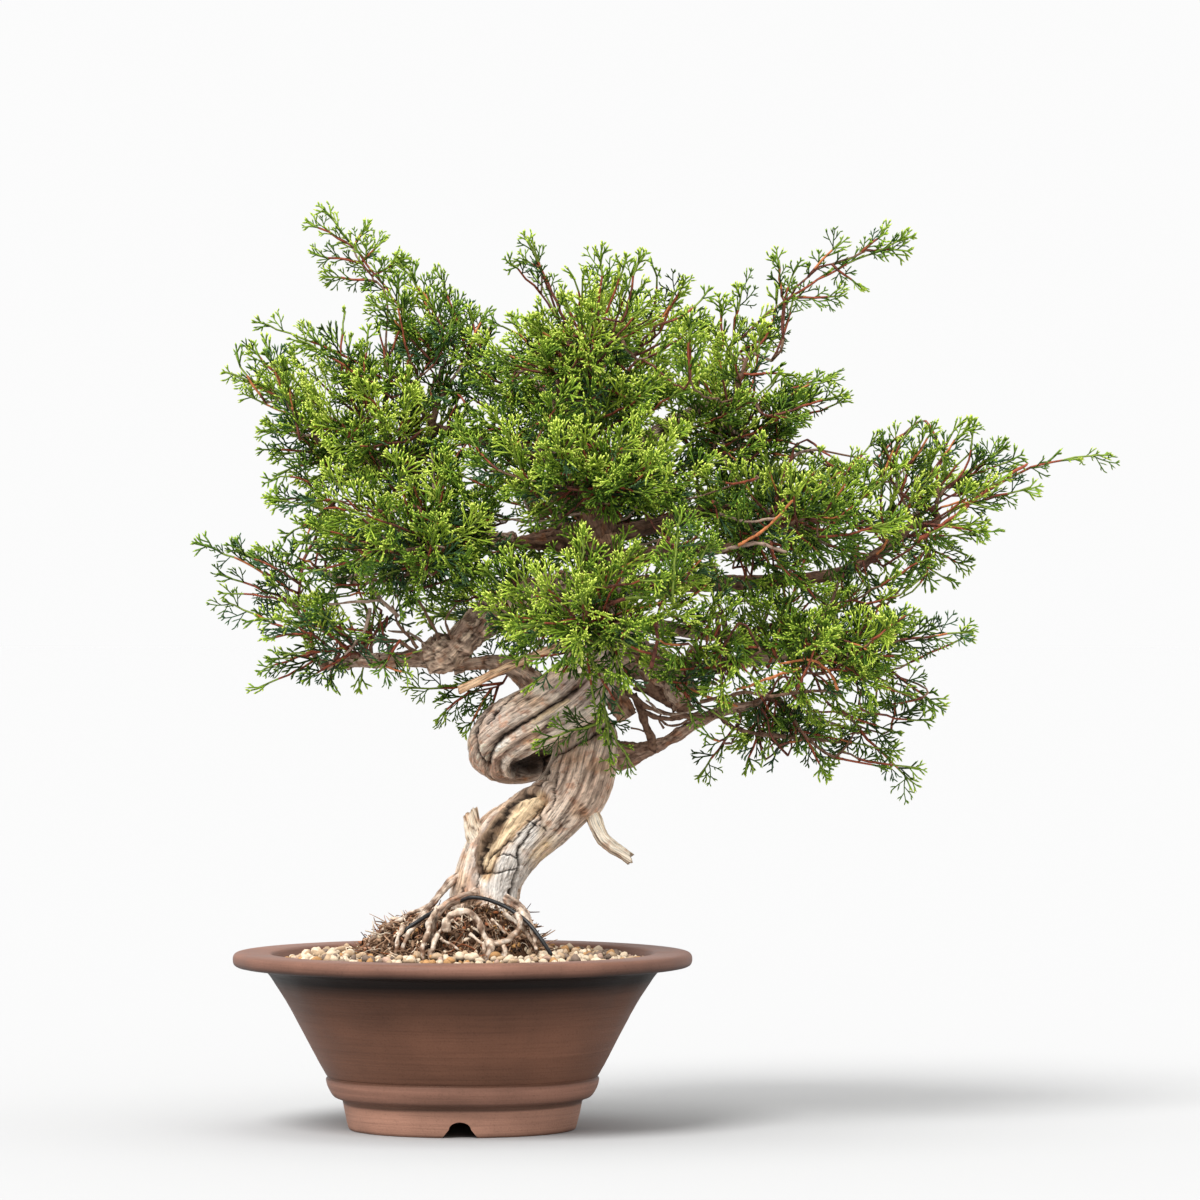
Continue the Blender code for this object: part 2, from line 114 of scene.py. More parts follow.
# ------------------------------------------------------------------ noise
def _lattice(ix, iy, iz, seed):
    h = (ix * 374761393 + iy * 668265263 + iz * 1440662683 + seed * 974634777) & 0xFFFFFFFF
    h = ((h ^ (h >> 13)) * 1274126177) & 0xFFFFFFFF
    h = ((h ^ (h >> 15)) * 2246822519) & 0xFFFFFFFF
    return ((h ^ (h >> 16)) & 0xFFFF) / 32767.5 - 1.0


def vnoise(p, seed=0):
    """Smooth value noise, -1 to 1, at points of shape (..., 3)."""
    i = np.floor(p).astype(np.int64)
    f = p - i
    w = f * f * f * (f * (f * 6 - 15) + 10)
    out = 0.0
    for dx in (0, 1):
        for dy in (0, 1):
            for dz in (0, 1):
                k = _lattice(i[..., 0] + dx, i[..., 1] + dy, i[..., 2] + dz, seed)
                wx = w[..., 0] if dx else 1 - w[..., 0]
                wy = w[..., 1] if dy else 1 - w[..., 1]
                wz = w[..., 2] if dz else 1 - w[..., 2]
                out = out + k * wx * wy * wz
    return out


def fbm(p, octaves=3, seed=0, gain=0.5):
    total, amp, size = 0.0, 1.0, 0.0
    for k in range(octaves):
        total = total + amp * vnoise(p * (2.07 ** k) + 17.3 * k, seed + k)
        size += amp
        amp *= gain
    return total / size


# ------------------------------------------------------------ mesh assembly
class Mesh:
    """Triangles gathered from many small shapes, made into one object."""

    def __init__(self):
        self.v, self.f, self.m, self.c, self.g, self.n = [], [], [], [], [], 0

    def add(self, verts, tris, slot=0, colour=None, grain=None):
        verts = np.asarray(verts, float)
        tris = np.asarray(tris, np.int64)
        self.v.append(verts)
        self.f.append(tris + self.n)
        self.m.append(np.full(len(tris), slot, np.int64) if np.ndim(slot) == 0 else np.asarray(slot, np.int64))
        if colour is not None:
            self.c.append(np.broadcast_to(np.asarray(colour, float), (len(verts), 3)))
        if grain is not None:
            self.g.append(np.asarray(grain, float))
        self.n += len(verts)

    def tris(self):
        return sum(len(f) for f in self.f)

    def make(self, name, materials, flat=False):
        v, f, m = np.concatenate(self.v), np.concatenate(self.f), np.concatenate(self.m)
        me = bpy.data.meshes.new(name)
        me.vertices.add(len(v))
        me.vertices.foreach_set("co", world(v).astype(np.float32).ravel())
        me.loops.add(3 * len(f))
        me.loops.foreach_set("vertex_index", f.astype(np.int32).ravel())
        me.polygons.add(len(f))
        me.polygons.foreach_set("loop_start", np.arange(0, 3 * len(f), 3, dtype=np.int32))
        me.polygons.foreach_set("material_index", m.astype(np.int32))
        me.polygons.foreach_set("use_smooth", np.full(len(f), not flat))
        me.update(calc_edges=True)
        me.validate()
        if self.c:
            c = np.concatenate(self.c)
            layer = me.color_attributes.new("tint", "FLOAT_COLOR", "POINT")
            layer.data.foreach_set("color", np.concatenate([c, np.ones((len(c), 1))], 1).astype(np.float32).ravel())
        if self.g:
            layer = me.attributes.new("grain", "FLOAT_VECTOR", "POINT")
            layer.data.foreach_set("vector", np.concatenate(self.g).astype(np.float32).ravel())
        for mat in materials:
            me.materials.append(mat)
        ob = bpy.data.objects.new(name, me)
        bpy.context.scene.collection.objects.link(ob)
        return ob


def catmull(ctrl, step):
    """Points along a smooth curve through the control rows, about a step apart."""
    c = np.asarray(ctrl, float)
    p = np.vstack([2 * c[0] - c[1], c, 2 * c[-1] - c[-2]])
    out = []
    for i in range(1, len(p) - 2):
        n = max(1, int(math.ceil(np.linalg.norm(p[i + 1, :3] - p[i, :3]) / step)))
        t = (np.arange(n) / n)[:, None]
        a, b, d, e = p[i - 1], p[i], p[i + 1], p[i + 2]
        out.append(0.5 * (2 * b + (d - a) * t + (2 * a - 5 * b + 4 * d - e) * t ** 2 + (3 * b - a - 3 * d + e) * t ** 3))
    out.append(p[-2][None])
    return np.vstack(out)


def transport(points):
    """Tangent, normal and binormal along a curve, without twist."""
    t = unit(np.gradient(points, axis=0))
    ref = np.array([0.0, 1.0, 0.0]) if abs(t[0, 1]) < 0.8 else np.array([1.0, 0.0, 0.0])
    n = unit(ref - t[0] * ref.dot(t[0]))
    ns = [n]
    for k in range(1, len(points)):
        n = n - t[k] * n.dot(t[k])
        n = n / (math.sqrt(n.dot(n)) + 1e-12)
        ns.append(n)
    ns = np.array(ns)
    return t, ns, np.cross(t, ns)


def ring_tris(rings, sides):
    """Triangles between neighbouring rings of a tube."""
    k = np.arange(sides)
    n = (k + 1) % sides
    quad = np.stack([np.stack([k, n, n + sides], 1), np.stack([k, n + sides, k + sides], 1)], 1).reshape(-1, 3)
    return (quad[None] + (np.arange(rings - 1) * sides)[:, None, None]).reshape(-1, 3)


_ring_cache = {}


def tube(points, radii, sides, start_cap=True, end="point"):
    """A plain tube with a closed start and a pointed or flat end."""
    points = np.asarray(points, float)
    radii = np.broadcast_to(np.asarray(radii, float), (len(points),))
    t, n, b = transport(points)
    a = 2 * np.pi * np.arange(sides) / sides
    d = np.cos(a)[None, :, None] * n[:, None] + np.sin(a)[None, :, None] * b[:, None]
    v = (points[:, None] + radii[:, None, None] * d).reshape(-1, 3)
    key = (len(points), sides)
    if key not in _ring_cache:
        _ring_cache[key] = ring_tris(*key)
    f = [_ring_cache[key]]
    extra = []
    base = len(v)
    k = np.arange(sides)
    if start_cap:
        extra.append(points[0])
        f.append(np.stack([np.full(sides, base), (k + 1) % sides, k], 1))
        base += 1
    last = (len(points) - 1) * sides
    tip = points[-1] + (t[-1] * radii[-1] * 1.2 if end == "point" else 0)
    extra.append(tip)
    f.append(np.stack([np.full(sides, base), last + k, last + (k + 1) % sides], 1))
    return np.vstack([v, np.array(extra)]), np.vstack(f)


# --------------------------------------------------------------- materials
def node_material(name, roughness=0.6, specular=0.3):
    mat = bpy.data.materials.new(name)
    mat.use_nodes = True
    nt = mat.node_tree
    shader = nt.nodes["Principled BSDF"]
    shader.inputs["Roughness"].default_value = roughness
    shader.inputs["Specular IOR Level"].default_value = specular
    return mat, nt, shader


def add(nt, kind, **values):
    node = nt.nodes.new(kind)
    for key, value in values.items():
        if key in node.inputs:
            node.inputs[key].default_value = value
        else:
            setattr(node, key, value)
    return node


def noise_node(nt, scale, detail=3.0, stretch=None, roughness=0.5):
    coord = nt.nodes.new("ShaderNodeTexCoord")
    tex = nt.nodes.new("ShaderNodeTexNoise")
    tex.inputs["Scale"].default_value = scale
    tex.inputs["Detail"].default_value = detail
    tex.inputs["Roughness"].default_value = roughness
    if stretch:
        m = nt.nodes.new("ShaderNodeMapping")
        m.inputs["Scale"].default_value = stretch
        nt.links.new(coord.outputs["Object"], m.inputs["Vector"])
        nt.links.new(m.outputs["Vector"], tex.inputs["Vector"])
    else:
        nt.links.new(coord.outputs["Object"], tex.inputs["Vector"])
    return tex


def ramp(nt, source, stops):
    r = nt.nodes.new("ShaderNodeValToRGB")
    r.color_ramp.elements[0].position = stops[0][0]
    r.color_ramp.elements[0].color = (*stops[0][1], 1)
    r.color_ramp.elements[1].position = stops[-1][0]
    r.color_ramp.elements[1].color = (*stops[-1][1], 1)
    for pos, col in stops[1:-1]:
        e = r.color_ramp.elements.new(pos)
        e.color = (*col, 1)
    nt.links.new(source, r.inputs["Fac"])
    return r.outputs["Color"]


def blend_colour(nt, kind, fac, a, b):
    m = nt.nodes.new("ShaderNodeMix")
    m.data_type = "RGBA"
    m.blend_type = kind
    for sock, val in ((m.inputs[0], fac), (m.inputs[6], a), (m.inputs[7], b)):
        if isinstance(val, (int, float)):
            sock.default_value = val
        elif isinstance(val, (tuple, list)):
            sock.default_value = (*val, 1) if len(val) == 3 else val
        else:
            nt.links.new(val, sock)
    return m.outputs[2]


def bump(nt, shader, height, strength, distance, below=None):
    b = nt.nodes.new("ShaderNodeBump")
    b.inputs["Strength"].default_value = strength
    b.inputs["Distance"].default_value = distance
    nt.links.new(height, b.inputs["Height"])
    if below is not None:
        nt.links.new(below, b.inputs["Normal"])
    nt.links.new(b.outputs["Normal"], shader.inputs["Normal"])
    return b.outputs["Normal"]


def grey(v):
    return (v, v, v)


def pot_material():
    """Brown stoneware: a darker, smoother body between paler lip, belt and foot, its tones partly painted shade, with
    painted shade under the lip and the belt.
    """
    mat, nt, sh = node_material("stoneware", 0.6, 0.12)
    coord = nt.nodes.new("ShaderNodeTexCoord")
    split = nt.nodes.new("ShaderNodeSeparateXYZ")
    nt.links.new(coord.outputs["Object"], split.inputs[0])
    edge = noise_node(nt, 30.0, 2.0)
    shift = add(nt, "ShaderNodeMath", operation="MULTIPLY_ADD")
    nt.links.new(edge.outputs["Fac"], shift.inputs[0])
    shift.inputs[1].default_value = 0.0012
    nt.links.new(split.outputs["Z"], shift.inputs[2])
    height = add(nt, "ShaderNodeMath", operation="MULTIPLY")
    nt.links.new(shift.outputs[0], height.inputs[0])
    height.inputs[1].default_value = 10.0
    streak = noise_node(nt, 1.0, 5.0, (16, 16, 800), 0.6)
    broad = noise_node(nt, 1.0, 3.0, (9, 9, 120), 0.5)
    mottle = noise_node(nt, 30.0, 5.0)
    speck = noise_node(nt, 1000.0, 2.0)
    def clay(rgb):
        low, high = tuple(c * 0.91 for c in rgb), tuple(min(255, c * 1.08) for c in rgb)
        return ramp(nt, mottle.outputs["Fac"], [(0.30, lin(low)), (0.52, lin(rgb)), (0.75, lin(high))])

    # foot, belt, body and lip, one above the other, each with its own tone: partly the clay's own hue, partly painted
    # shade that makes the downward-facing body darker than the upright lip, belt and foot
    tone = clay((174, 130, 110))
    for at, rgb in ((0.160, (140, 102, 86)), (0.252, (108, 74, 58)), (0.775, (124, 89, 75))):
        above = ramp(nt, height.outputs[0], [(0.0, grey(0)), (at - 0.004, grey(0)), (at + 0.004, grey(1)), (1.0, grey(1))])
        tone = blend_colour(nt, "MIX", above, tone, clay(rgb))
    # painted shade by height: dark under the lip and under the belt, darker at the foot's bottom and high on the body,
    # lighter on the belt and the middle of the body
    shade = ramp(nt, height.outputs[0], [(0.0, grey(0.40)), (0.03, grey(0.92)), (0.124, grey(0.99)), (0.136, grey(0.32)), (0.156, grey(0.32)), (0.172, grey(0.80)), (0.19, grey(1.04)),
                                         (0.235, grey(1.10)), (0.252, grey(0.70)), (0.27, grey(0.92)), (0.42, grey(1.10)), (0.58, grey(0.86)), (0.67, grey(0.56)),
                                         (0.735, grey(0.05)), (0.785, grey(0.06)), (0.815, grey(0.85)), (0.86, grey(1.06))])
    base = blend_colour(nt, "MULTIPLY", 1.0, tone, shade)
    lines = ramp(nt, streak.outputs["Fac"], [(0.32, grey(0.84)), (0.5, grey(1.0)), (0.72, grey(1.10))])
    col = blend_colour(nt, "MULTIPLY", 0.8, base, lines)
    bands = ramp(nt, broad.outputs["Fac"], [(0.30, grey(0.86)), (0.5, grey(1.0)), (0.75, grey(1.10))])
    col = blend_colour(nt, "MULTIPLY", 0.75, col, bands)
    dots = ramp(nt, speck.outputs["Fac"], [(0.28, grey(0.80)), (0.42, grey(1.0)), (0.8, grey(1.08))])
    col = blend_colour(nt, "MULTIPLY", 0.7, col, dots)
    nt.links.new(col, sh.inputs["Base Color"])
    rough = ramp(nt, mottle.outputs["Fac"], [(0.3, grey(0.42)), (0.7, grey(0.58))])
    nt.links.new(rough, sh.inputs["Roughness"])
    below = bump(nt, sh, streak.outputs["Fac"], 0.45, 0.0006)
    below = bump(nt, sh, broad.outputs["Fac"], 0.25, 0.0010, below)
    bump(nt, sh, speck.outputs["Fac"], 0.30, 0.00025, below)
    return mat


def grain_material(name, colour, dark):
    mat, nt, sh = node_material(name, 0.88, 0.2)
    n = noise_node(nt, 420.0, 4.0)
    col = ramp(nt, n.outputs["Fac"], [(0.30, lin(dark)), (0.50, lin(colour)), (0.85, np.minimum(lin(colour) * 1.18, 0.95))])
    nt.links.new(col, sh.inputs["Base Color"])
    bump(nt, sh, n.outputs["Fac"], 0.5, 0.0005)
    return mat


def earth_material():
    mat, nt, sh = node_material("matted_fibre", 0.95, 0.1)
    n = noise_node(nt, 260.0, 5.0)
    col = ramp(nt, n.outputs["Fac"], [(0.3, lin((34, 22, 15))), (0.5, lin((70, 48, 34))), (0.75, lin((112, 84, 62)))])
    nt.links.new(col, sh.inputs["Base Color"])
    bump(nt, sh, n.outputs["Fac"], 0.9, 0.0012)
    return mat


def tinted_material(name, roughness, scale, contrast, strength, distance=0.0006, fibre=None):
    """Bark and wood: colour painted on the mesh, broken up by flecks and, where it has one, by the grain."""
    mat, nt, sh = node_material(name, roughness, 0.22)
    attr = nt.nodes.new("ShaderNodeAttribute")
    attr.attribute_name = "tint"
    n = noise_node(nt, scale, 5.0, None, 0.62)
    fine = ramp(nt, n.outputs["Fac"], [(0.28, grey(1.0 - contrast)), (0.5, grey(1.0)), (0.75, grey(1.0 + contrast * 0.7))])
    col = blend_colour(nt, "MULTIPLY", 1.0, attr.outputs["Color"], fine)
    below = bump(nt, sh, n.outputs["Fac"], strength, distance)
    if fibre:
        g = nt.nodes.new("ShaderNodeAttribute")
        g.attribute_name = "grain"
        f = nt.nodes.new("ShaderNodeTexNoise")
        f.inputs["Scale"].default_value = fibre
        f.inputs["Detail"].default_value = 4.0
        f.inputs["Roughness"].default_value = 0.65
        nt.links.new(g.outputs["Vector"], f.inputs["Vector"])
        lines = ramp(nt, f.outputs["Fac"], [(0.33, grey(0.30)), (0.44, grey(0.80)), (0.54, grey(1.04)), (0.66, grey(1.34))])
        col = blend_colour(nt, "MULTIPLY", 0.95, col, lines)
        below = bump(nt, sh, f.outputs["Fac"], 0.9, distance * 1.9, below)
    nt.links.new(col, sh.inputs["Base Color"])
    return mat


def plain_material(name, rgb, roughness=0.6, specular=0.3):
    mat, nt, sh = node_material(name, roughness, specular)
    sh.inputs["Base Color"].default_value = (*lin(rgb), 1)
    return mat


def leaf_material(name, rgb):
    """Scale leaves: one base colour a spray, with a waxy grain in the gloss."""
    mat, nt, sh = node_material(name, 0.6, 0.16)
    sh.inputs["Base Color"].default_value = (*lin(rgb), 1)
    n = noise_node(nt, 900.0, 2.0)
    bump(nt, sh, n.outputs["Fac"], 0.35, 0.0003)
    return mat


def strap_material():
    mat, nt, sh = node_material("tie_rubber", 0.45, 0.4)
    n = noise_node(nt, 700.0, 2.0)
    col = ramp(nt, n.outputs["Fac"], [(0.35, lin((16, 16, 17))), (0.7, lin((38, 38, 40)))])
    nt.links.new(col, sh.inputs["Base Color"])
    bump(nt, sh, n.outputs["Fac"], 0.2, 0.0002)
    return mat


# --------------------------------------------------------------------- pot
def rounded(points, steps=5):
    """A polyline of (r, z, fillet) rows with its corners rounded."""
    out = []
    n = len(points)
    for i, (r, z, f) in enumerate(points):
        a, b, c = np.array(points[i - 1][:2]), np.array((r, z)), np.array(points[(i + 1) % n][:2])
        if f <= 0:
            out.append(b)
            continue
        da, dc = np.linalg.norm(a - b), np.linalg.norm(c - b)
        k = min(f, 0.48 * da, 0.48 * dc)
        p, q = b + (a - b) * k / da, b + (c - b) * k / dc
        for s in range(steps + 1):
            t = s / steps
            out.append((1 - t) ** 2 * p + 2 * t * (1 - t) * b + t * t * q)
    return np.array(out)


def densify(loop, step):
    out = []
    for a, b in zip(loop, np.roll(loop, -1, axis=0)):
        n = max(1, int(np.linalg.norm(b - a) / step))
        for k in range(n):
            out.append(a + (b - a) * k / n)
    return np.array(out)


def build_pot():
    profile = [
        (94.0, 85.0, 1.2), (104.5, 85.4, 3.0), (110.5, 84.6, 3.4), (110.3, 78.4, 3.4), (103.0, 77.7, 3.0),
        (94.6, 76.2, 3.5), (92.4, 73.6, 3.0), (84.4, 61.4, 4.0), (79.4, 52.2, 4.0), (74.3, 42.5, 4.0), (69.4, 32.9, 4.0),
        (65.6, 26.2, 1.2), (64.9, 25.3, 0.4), (65.9, 24.4, 0.9), (65.5, 21.8, 1.5), (64.0, 18.6, 2.0), (62.0, 15.6, 1.5),
        (58.6, 14.7, 0.8), (57.7, 13.7, 0.8), (55.0, 0.9, 0.6), (54.2, 0.0, 0.5), (49.7, 0.0, 0.6), (49.1, 1.0, 0.5),
        (49.8, 7.6, 1.0), (47.5, 8.7, 1.0), (11.6, 8.7, 0.6), (10.5, 9.6, 0.6), (10.5, 14.6, 0.6), (11.6, 15.4, 0.6),
        (52.0, 15.4, 2.0), (58.4, 24.5, 3.0), (68.2, 42.5, 4.0), (78.6, 62.0, 4.0), (86.6, 75.0, 3.0), (90.6, 81.8, 2.0), (91.8, 84.4, 1.2),
    ]
    loop = densify(rounded(profile), 2.4)
    sides = 220
    n = len(loop)
    a = 2 * np.pi * np.arange(sides) / sides
    r, z = loop[:, 0][:, None], loop[:, 1][:, None]
    ca, sa = np.cos(a)[None], np.sin(a)[None]
    # thrown on a wheel, so not quite true
    wob = 0.22 * vnoise(np.stack(np.broadcast_arrays(ca * 1.3 + 5, sa * 1.3 + 5, z / 26.0), -1), 4)
    wob = wob + 0.10 * vnoise(np.stack(np.broadcast_arrays(ca * 0.6, sa * 0.6, z / 2.2), -1), 9)
    keep = np.clip(z / 4.0, 0, 1)
    rr = r + wob * keep
    v = np.stack([rr * ca, rr * sa, np.broadcast_to(z, rr.shape)], -1).reshape(-1, 3)
    k = np.arange(sides)
    m = (k + 1) % sides
    faces = []
    for i in range(n):
        j = (i + 1) % n
        faces.append(np.stack([i * sides + k, j * sides + k, j * sides + m], 1))
        faces.append(np.stack([i * sides + k, j * sides + m, i * sides + m], 1))
    mesh = Mesh()
    mesh.add(v, np.vstack(faces))
    pot = mesh.make("pot_body", [])
    bm = bmesh.new()
    bm.from_mesh(pot.data)
    bmesh.ops.recalc_face_normals(bm, faces=bm.faces[:])
    bm.to_mesh(pot.data)
    bm.free()
    # four arched drainage notches across the foot ring
    for turn in (0, 1):
        arch = [(-8.5, -3.0), (8.5, -3.0), (8.5, 0.0)]
        arch += [(5.3 * math.cos(t), 4.0 + 3.7 * math.sin(t)) for t in np.linspace(0, math.pi, 9)]
        arch += [(-8.5, 0.0)]
        bm = bmesh.new()
        vs = []
        for x, zz in arch:
            p = (x, -72.0, zz) if turn == 0 else (72.0, x, zz)
            vs.append(bm.verts.new(Vector(world(p))))
        face = bm.faces.new(vs)
        got = bmesh.ops.extrude_face_region(bm, geom=[face])
        shift = (0, 0.144, 0) if turn == 0 else (-0.144, 0, 0)
        bmesh.ops.translate(bm, vec=shift, verts=[g for g in got["geom"] if isinstance(g, bmesh.types.BMVert)])
        bmesh.ops.recalc_face_normals(bm, faces=bm.faces[:])
        me = bpy.data.meshes.new("notch")
        bm.to_mesh(me)
        bm.free()
        cutter = bpy.data.objects.new("notch_%d" % turn, me)
        bpy.context.scene.collection.objects.link(cutter)
        mod = pot.modifiers.new("notch", "BOOLEAN")
        mod.operation, mod.solver, mod.object = "DIFFERENCE", "EXACT", cutter
        bpy.context.view_layer.update()
        done = bpy.data.meshes.new_from_object(pot.evaluated_get(bpy.context.evaluated_depsgraph_get()))
        pot.modifiers.clear()
        old, pot.data = pot.data, done
        bpy.data.meshes.remove(old)
        bpy.data.objects.remove(cutter)
        bpy.data.meshes.remove(me)
    pot.data.materials.clear()
    pot.data.materials.append(pot_material())
    pot.data.shade_smooth()
    pot.data.set_sharp_from_angle(angle=math.radians(35))
    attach(pot, "root")
    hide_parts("pot")
    return pot


# ------------------------------------------------------------ gravel and soil
SOIL_TOP, SOIL_EDGE = 83.6, 79.0


def soil_level(r):
    return np.interp(r, [0, 60, 76, 90], [SOIL_TOP, SOIL_TOP, SOIL_TOP - 2.0, SOIL_EDGE])


def build_soil(rng):
    rs = np.array([0.01, 20, 40, 52, 60, 66, 72, 78, 84, 88.6, 86.0, 78.2, 67.8, 58.0, 51.6, 0.01])
    zs = np.concatenate([soil_level(rs[:10]) - 2.6, [75.0, 62.0, 42.5, 24.5, 15.8, 15.8]])
    sides = 96
    a = 2 * np.pi * np.arange(sides) / sides
    v = np.stack([rs[:, None] * np.cos(a), rs[:, None] * np.sin(a), np.broadcast_to(zs[:, None], (len(rs), sides))], -1).reshape(-1, 3)
    base = Mesh()
    base.add(v, ring_tris(len(rs), sides)[:, ::-1])
    # the soil under the grains: its own dark brown, deepened as painted shade for the gaps between the grains
    mat = grain_material("dark_soil_gap_shade", (70, 50, 37), (28, 19, 14))
    ob = base.make("soil_body", [mat])
    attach(ob, "root")
    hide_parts("soil")

    bm = bmesh.new()
    bmesh.ops.create_icosphere(bm, subdivisions=2, radius=1.0)
    ball = np.array([p.co[:] for p in bm.verts])
    faces = np.array([[q.index for q in f.verts] for f in bm.faces])
    bm.free()
    # a dozen chipped pebbles, used again and again at other sizes and turns
    stones = []
    for k in range(14):
        d = ball.copy()
        for _ in range(7):
            n = unit(rng.normal(size=3))
            cut = rng.uniform(0.62, 0.86)
            over = np.maximum(d @ n - cut, 0)
            d = d - over[:, None] * n
        d *= 1 + 0.10 * vnoise(d * 2.2 + 31 * k, k)[:, None]
        stones.append(d * rng.uniform((0.95, 0.72, 0.60), (1.2, 0.95, 0.85)))
    grains = Mesh()
    placed = np.zeros((0, 4))
    layers = [(760, 0.9, 0.10), (470, 0.74, 1.7)]
    # kinds of grain: the darker colour that the painted shade on a grain's underside is made from, and the grain's own
    # colour
    kinds = [((132, 100, 76), (220, 199, 172)), ((108, 80, 58), (187, 160, 130)), ((108, 74, 47), (182, 138, 92)),
             ((118, 84, 68), (182, 151, 132)), ((72, 56, 46), (128, 110, 97))]
    for count, crowd, lift in layers:
        got = 0
        tries = 0
        level = []
        sizes = np.sort(rng.gamma(9.0, 0.235, count))[::-1].clip(1.25, 3.5)
        while got < count and tries < 26000:
            tries += 1
            s = sizes[got]
            r = math.sqrt(rng.uniform(40.0 ** 2, (89.4 - s * 0.7) ** 2))
            t = rng.uniform(0, 2 * math.pi)
            x, y = r * math.cos(t), r * math.sin(t)
            if level:
                q = np.array(level)
                if np.any((q[:, 0] - x) ** 2 + (q[:, 1] - y) ** 2 < (crowd * (q[:, 2] + s) * 0.94) ** 2):
                    continue
            level.append((x, y, s))
            got += 1
            z = soil_level(r) - 1.9 + s * 0.45 + lift + rng.uniform(-0.3, 0.4)
            q = unit(rng.normal(size=4))
            w, i, j, k = q
            rot = np.array([[1 - 2 * (j * j + k * k), 2 * (i * j - k * w), 2 * (i * k + j * w)],
                            [2 * (i * j + k * w), 1 - 2 * (i * i + k * k), 2 * (j * k - i * w)],
                            [2 * (i * k - j * w), 2 * (j * k + i * w), 1 - 2 * (i * i + j * j)]])
            stone = stones[rng.integers(len(stones))] @ rot.T
            # painted shade: each grain darkens on its lower side, down in the gaps, to a deep shade of its kind's
            # darker colour
            low, colour = kinds[rng.choice(5, p=[0.36, 0.27, 0.17, 0.10, 0.10])]
            tint = mix((lin(low) * 0.22)[None], (lin(colour) * rng.uniform(0.86, 1.10))[None], smooth(-0.55, 0.42, stone[:, 2]))
            grains.add(stone * s + (x, y, z), faces, 0, tint)
    mats = [tinted_material("pumice", 0.88, 420.0, 0.30, 0.5, 0.0005)]
    ob = grains.make("gravel_grains", mats)
    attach(ob, "root")
    return grains.tris()


# -------------------------------------------------------------- root mound
def mound_level(x, y):
    """Height of the root mound's surface above the table."""
    r0 = np.hypot((x + 6) / 50.0, y / 46.0)
    cx = -6 + 15 * np.exp(-(r0 / 0.62) ** 2)
    r = np.hypot((x - cx) / 50.0, y / 46.0)
    top = 83.2 + 20.8 * (1 - smooth(0.36, 1.03, r)) + 4.5 * np.exp(-((x - 17) / 15.0) ** 2 - ((y + 17) / 11.0) ** 2)
    top = top + 4.6 * np.exp(-((x + 36) / 13.0) ** 2 - ((y + 4) / 16.0) ** 2)
    p = np.stack([x / 9.0, y / 9.0, np.zeros_like(x)], -1)
    return top + 1.3 * fbm(p, 3, 21) * (1 - smooth(0.95, 1.05, r)) * smooth(0.2, 0.6, r)


STRAP = [(-30, -30, 94), (-21, -29, 101), (-14, -25, 105), (-9, -23, 107.5), (-2, -23, 110), (5, -27, 112.4), (14, -28, 111), (24, -30, 106.5),
         (33, -36, 99.5), (39, -40, 92), (43, -41, 86)]

# thick surface roots: centre line and end radii
SURFACE_ROOTS = {
    "root_left": ([(12, -2, 124), (-3, -8, 121), (-13, -13, 110), (-21, -18, 101), (-28, -24, 93)], 4.2, 2.2),
    "root_front": ([(9, -10, 114), (1, -21, 112), (-8, -27, 108), (-13, -33, 101), (-14, -37, 91)], 3.0, 2.2),
    "root_right": ([(18, -8, 112), (28, -19, 107), (33, -28, 100), (37, -34, 91)], 4.0, 2.4),
    "root_back": ([(15, 8, 112), (20, 22, 107), (25, 33, 100), (29, 41, 91)], 4.0, 2.4),
}
# thinner pale roots that arch over the front of the mound
ARCHED_ROOTS = [
    ([(-4, -27, 102), (-8, -34, 99), (-12, -39, 93), (-13, -42, 86)], 1.4, 1.1),
    ([(11, -40, 92), (11, -42, 87), (12, -43, 83)], 1.6, 1.2),
    ([(20, -38, 92), (20, -41, 87), (19, -43, 83)], 1.5, 1.1),
    ([(-17, -24, 104), (-24, -30, 97), (-27, -34, 90), (-29, -36, 85)], 1.6, 1.1),
    ([(20, -22, 105), (28, -28, 99), (34, -32, 91), (38, -34, 84)], 1.7, 1.1),
    ([(-14, -8, 108), (-28, -8, 102), (-40, -12, 94), (-49, -15, 86)], 1.6, 0.9),
    ([(-12, 8, 106), (-26, 14, 101), (-38, 18, 94), (-47, 20, 86)], 2.0, 1.0),
    ([(2, 20, 106), (-4, 31, 101), (-9, 39, 93), (-13, 44, 86)], 2.2, 1.1),
    ([(23, 10, 105), (32, 14, 98), (38, 18, 89), (42, 20, 83)], 1.7, 1.0),
    ([(24, -2, 105), (32, -6, 98), (37, -8, 90), (41, -9, 83)], 1.5, 1.0),
]


# and the ones in the very front: view pixels and depth
FRONT_ROOTS = [
    ([(447, 931, -38), (448, 920, -39), (455, 913, -40), (466, 912, -40), (474, 916, -40), (480, 926, -40), (486, 938, -40),
      (495, 943, -41), (508, 941, -41), (517, 933, -40), (520, 922, -37), (517, 915, -33)], 1.8, 1.2),
    ([(437, 908, -36), (431, 920, -38), (427, 934, -40), (423, 948, -42), (421, 962, -44)], 1.4, 1.1),
    ([(439, 932, -39), (433, 945, -42), (431, 960, -44)], 1.3, 1.1),
    ([(486, 940, -40), (490, 950, -43), (486, 963, -45)], 1.7, 1.3),
    ([(503, 943, -40), (507, 952, -43), (503, 964, -45)], 1.2, 0.9),
    ([(441, 938, -40), (450, 944, -41), (460, 950, -42), (467, 957, -43)], 0.8, 0.5),
    ([(470, 934, -38), (478, 941, -40), (486, 946, -41)], 0.8, 0.6),
    ([(491, 921, -34), (499, 925, -37), (507, 934, -40)], 0.7, 0.5),
    ([(404, 924, -30), (398, 938, -34), (396, 952, -38)], 1.2, 0.8),
    ([(519, 909, -24), (527, 921, -29), (533, 934, -34), (536, 948, -37)], 1.3, 0.9),
]


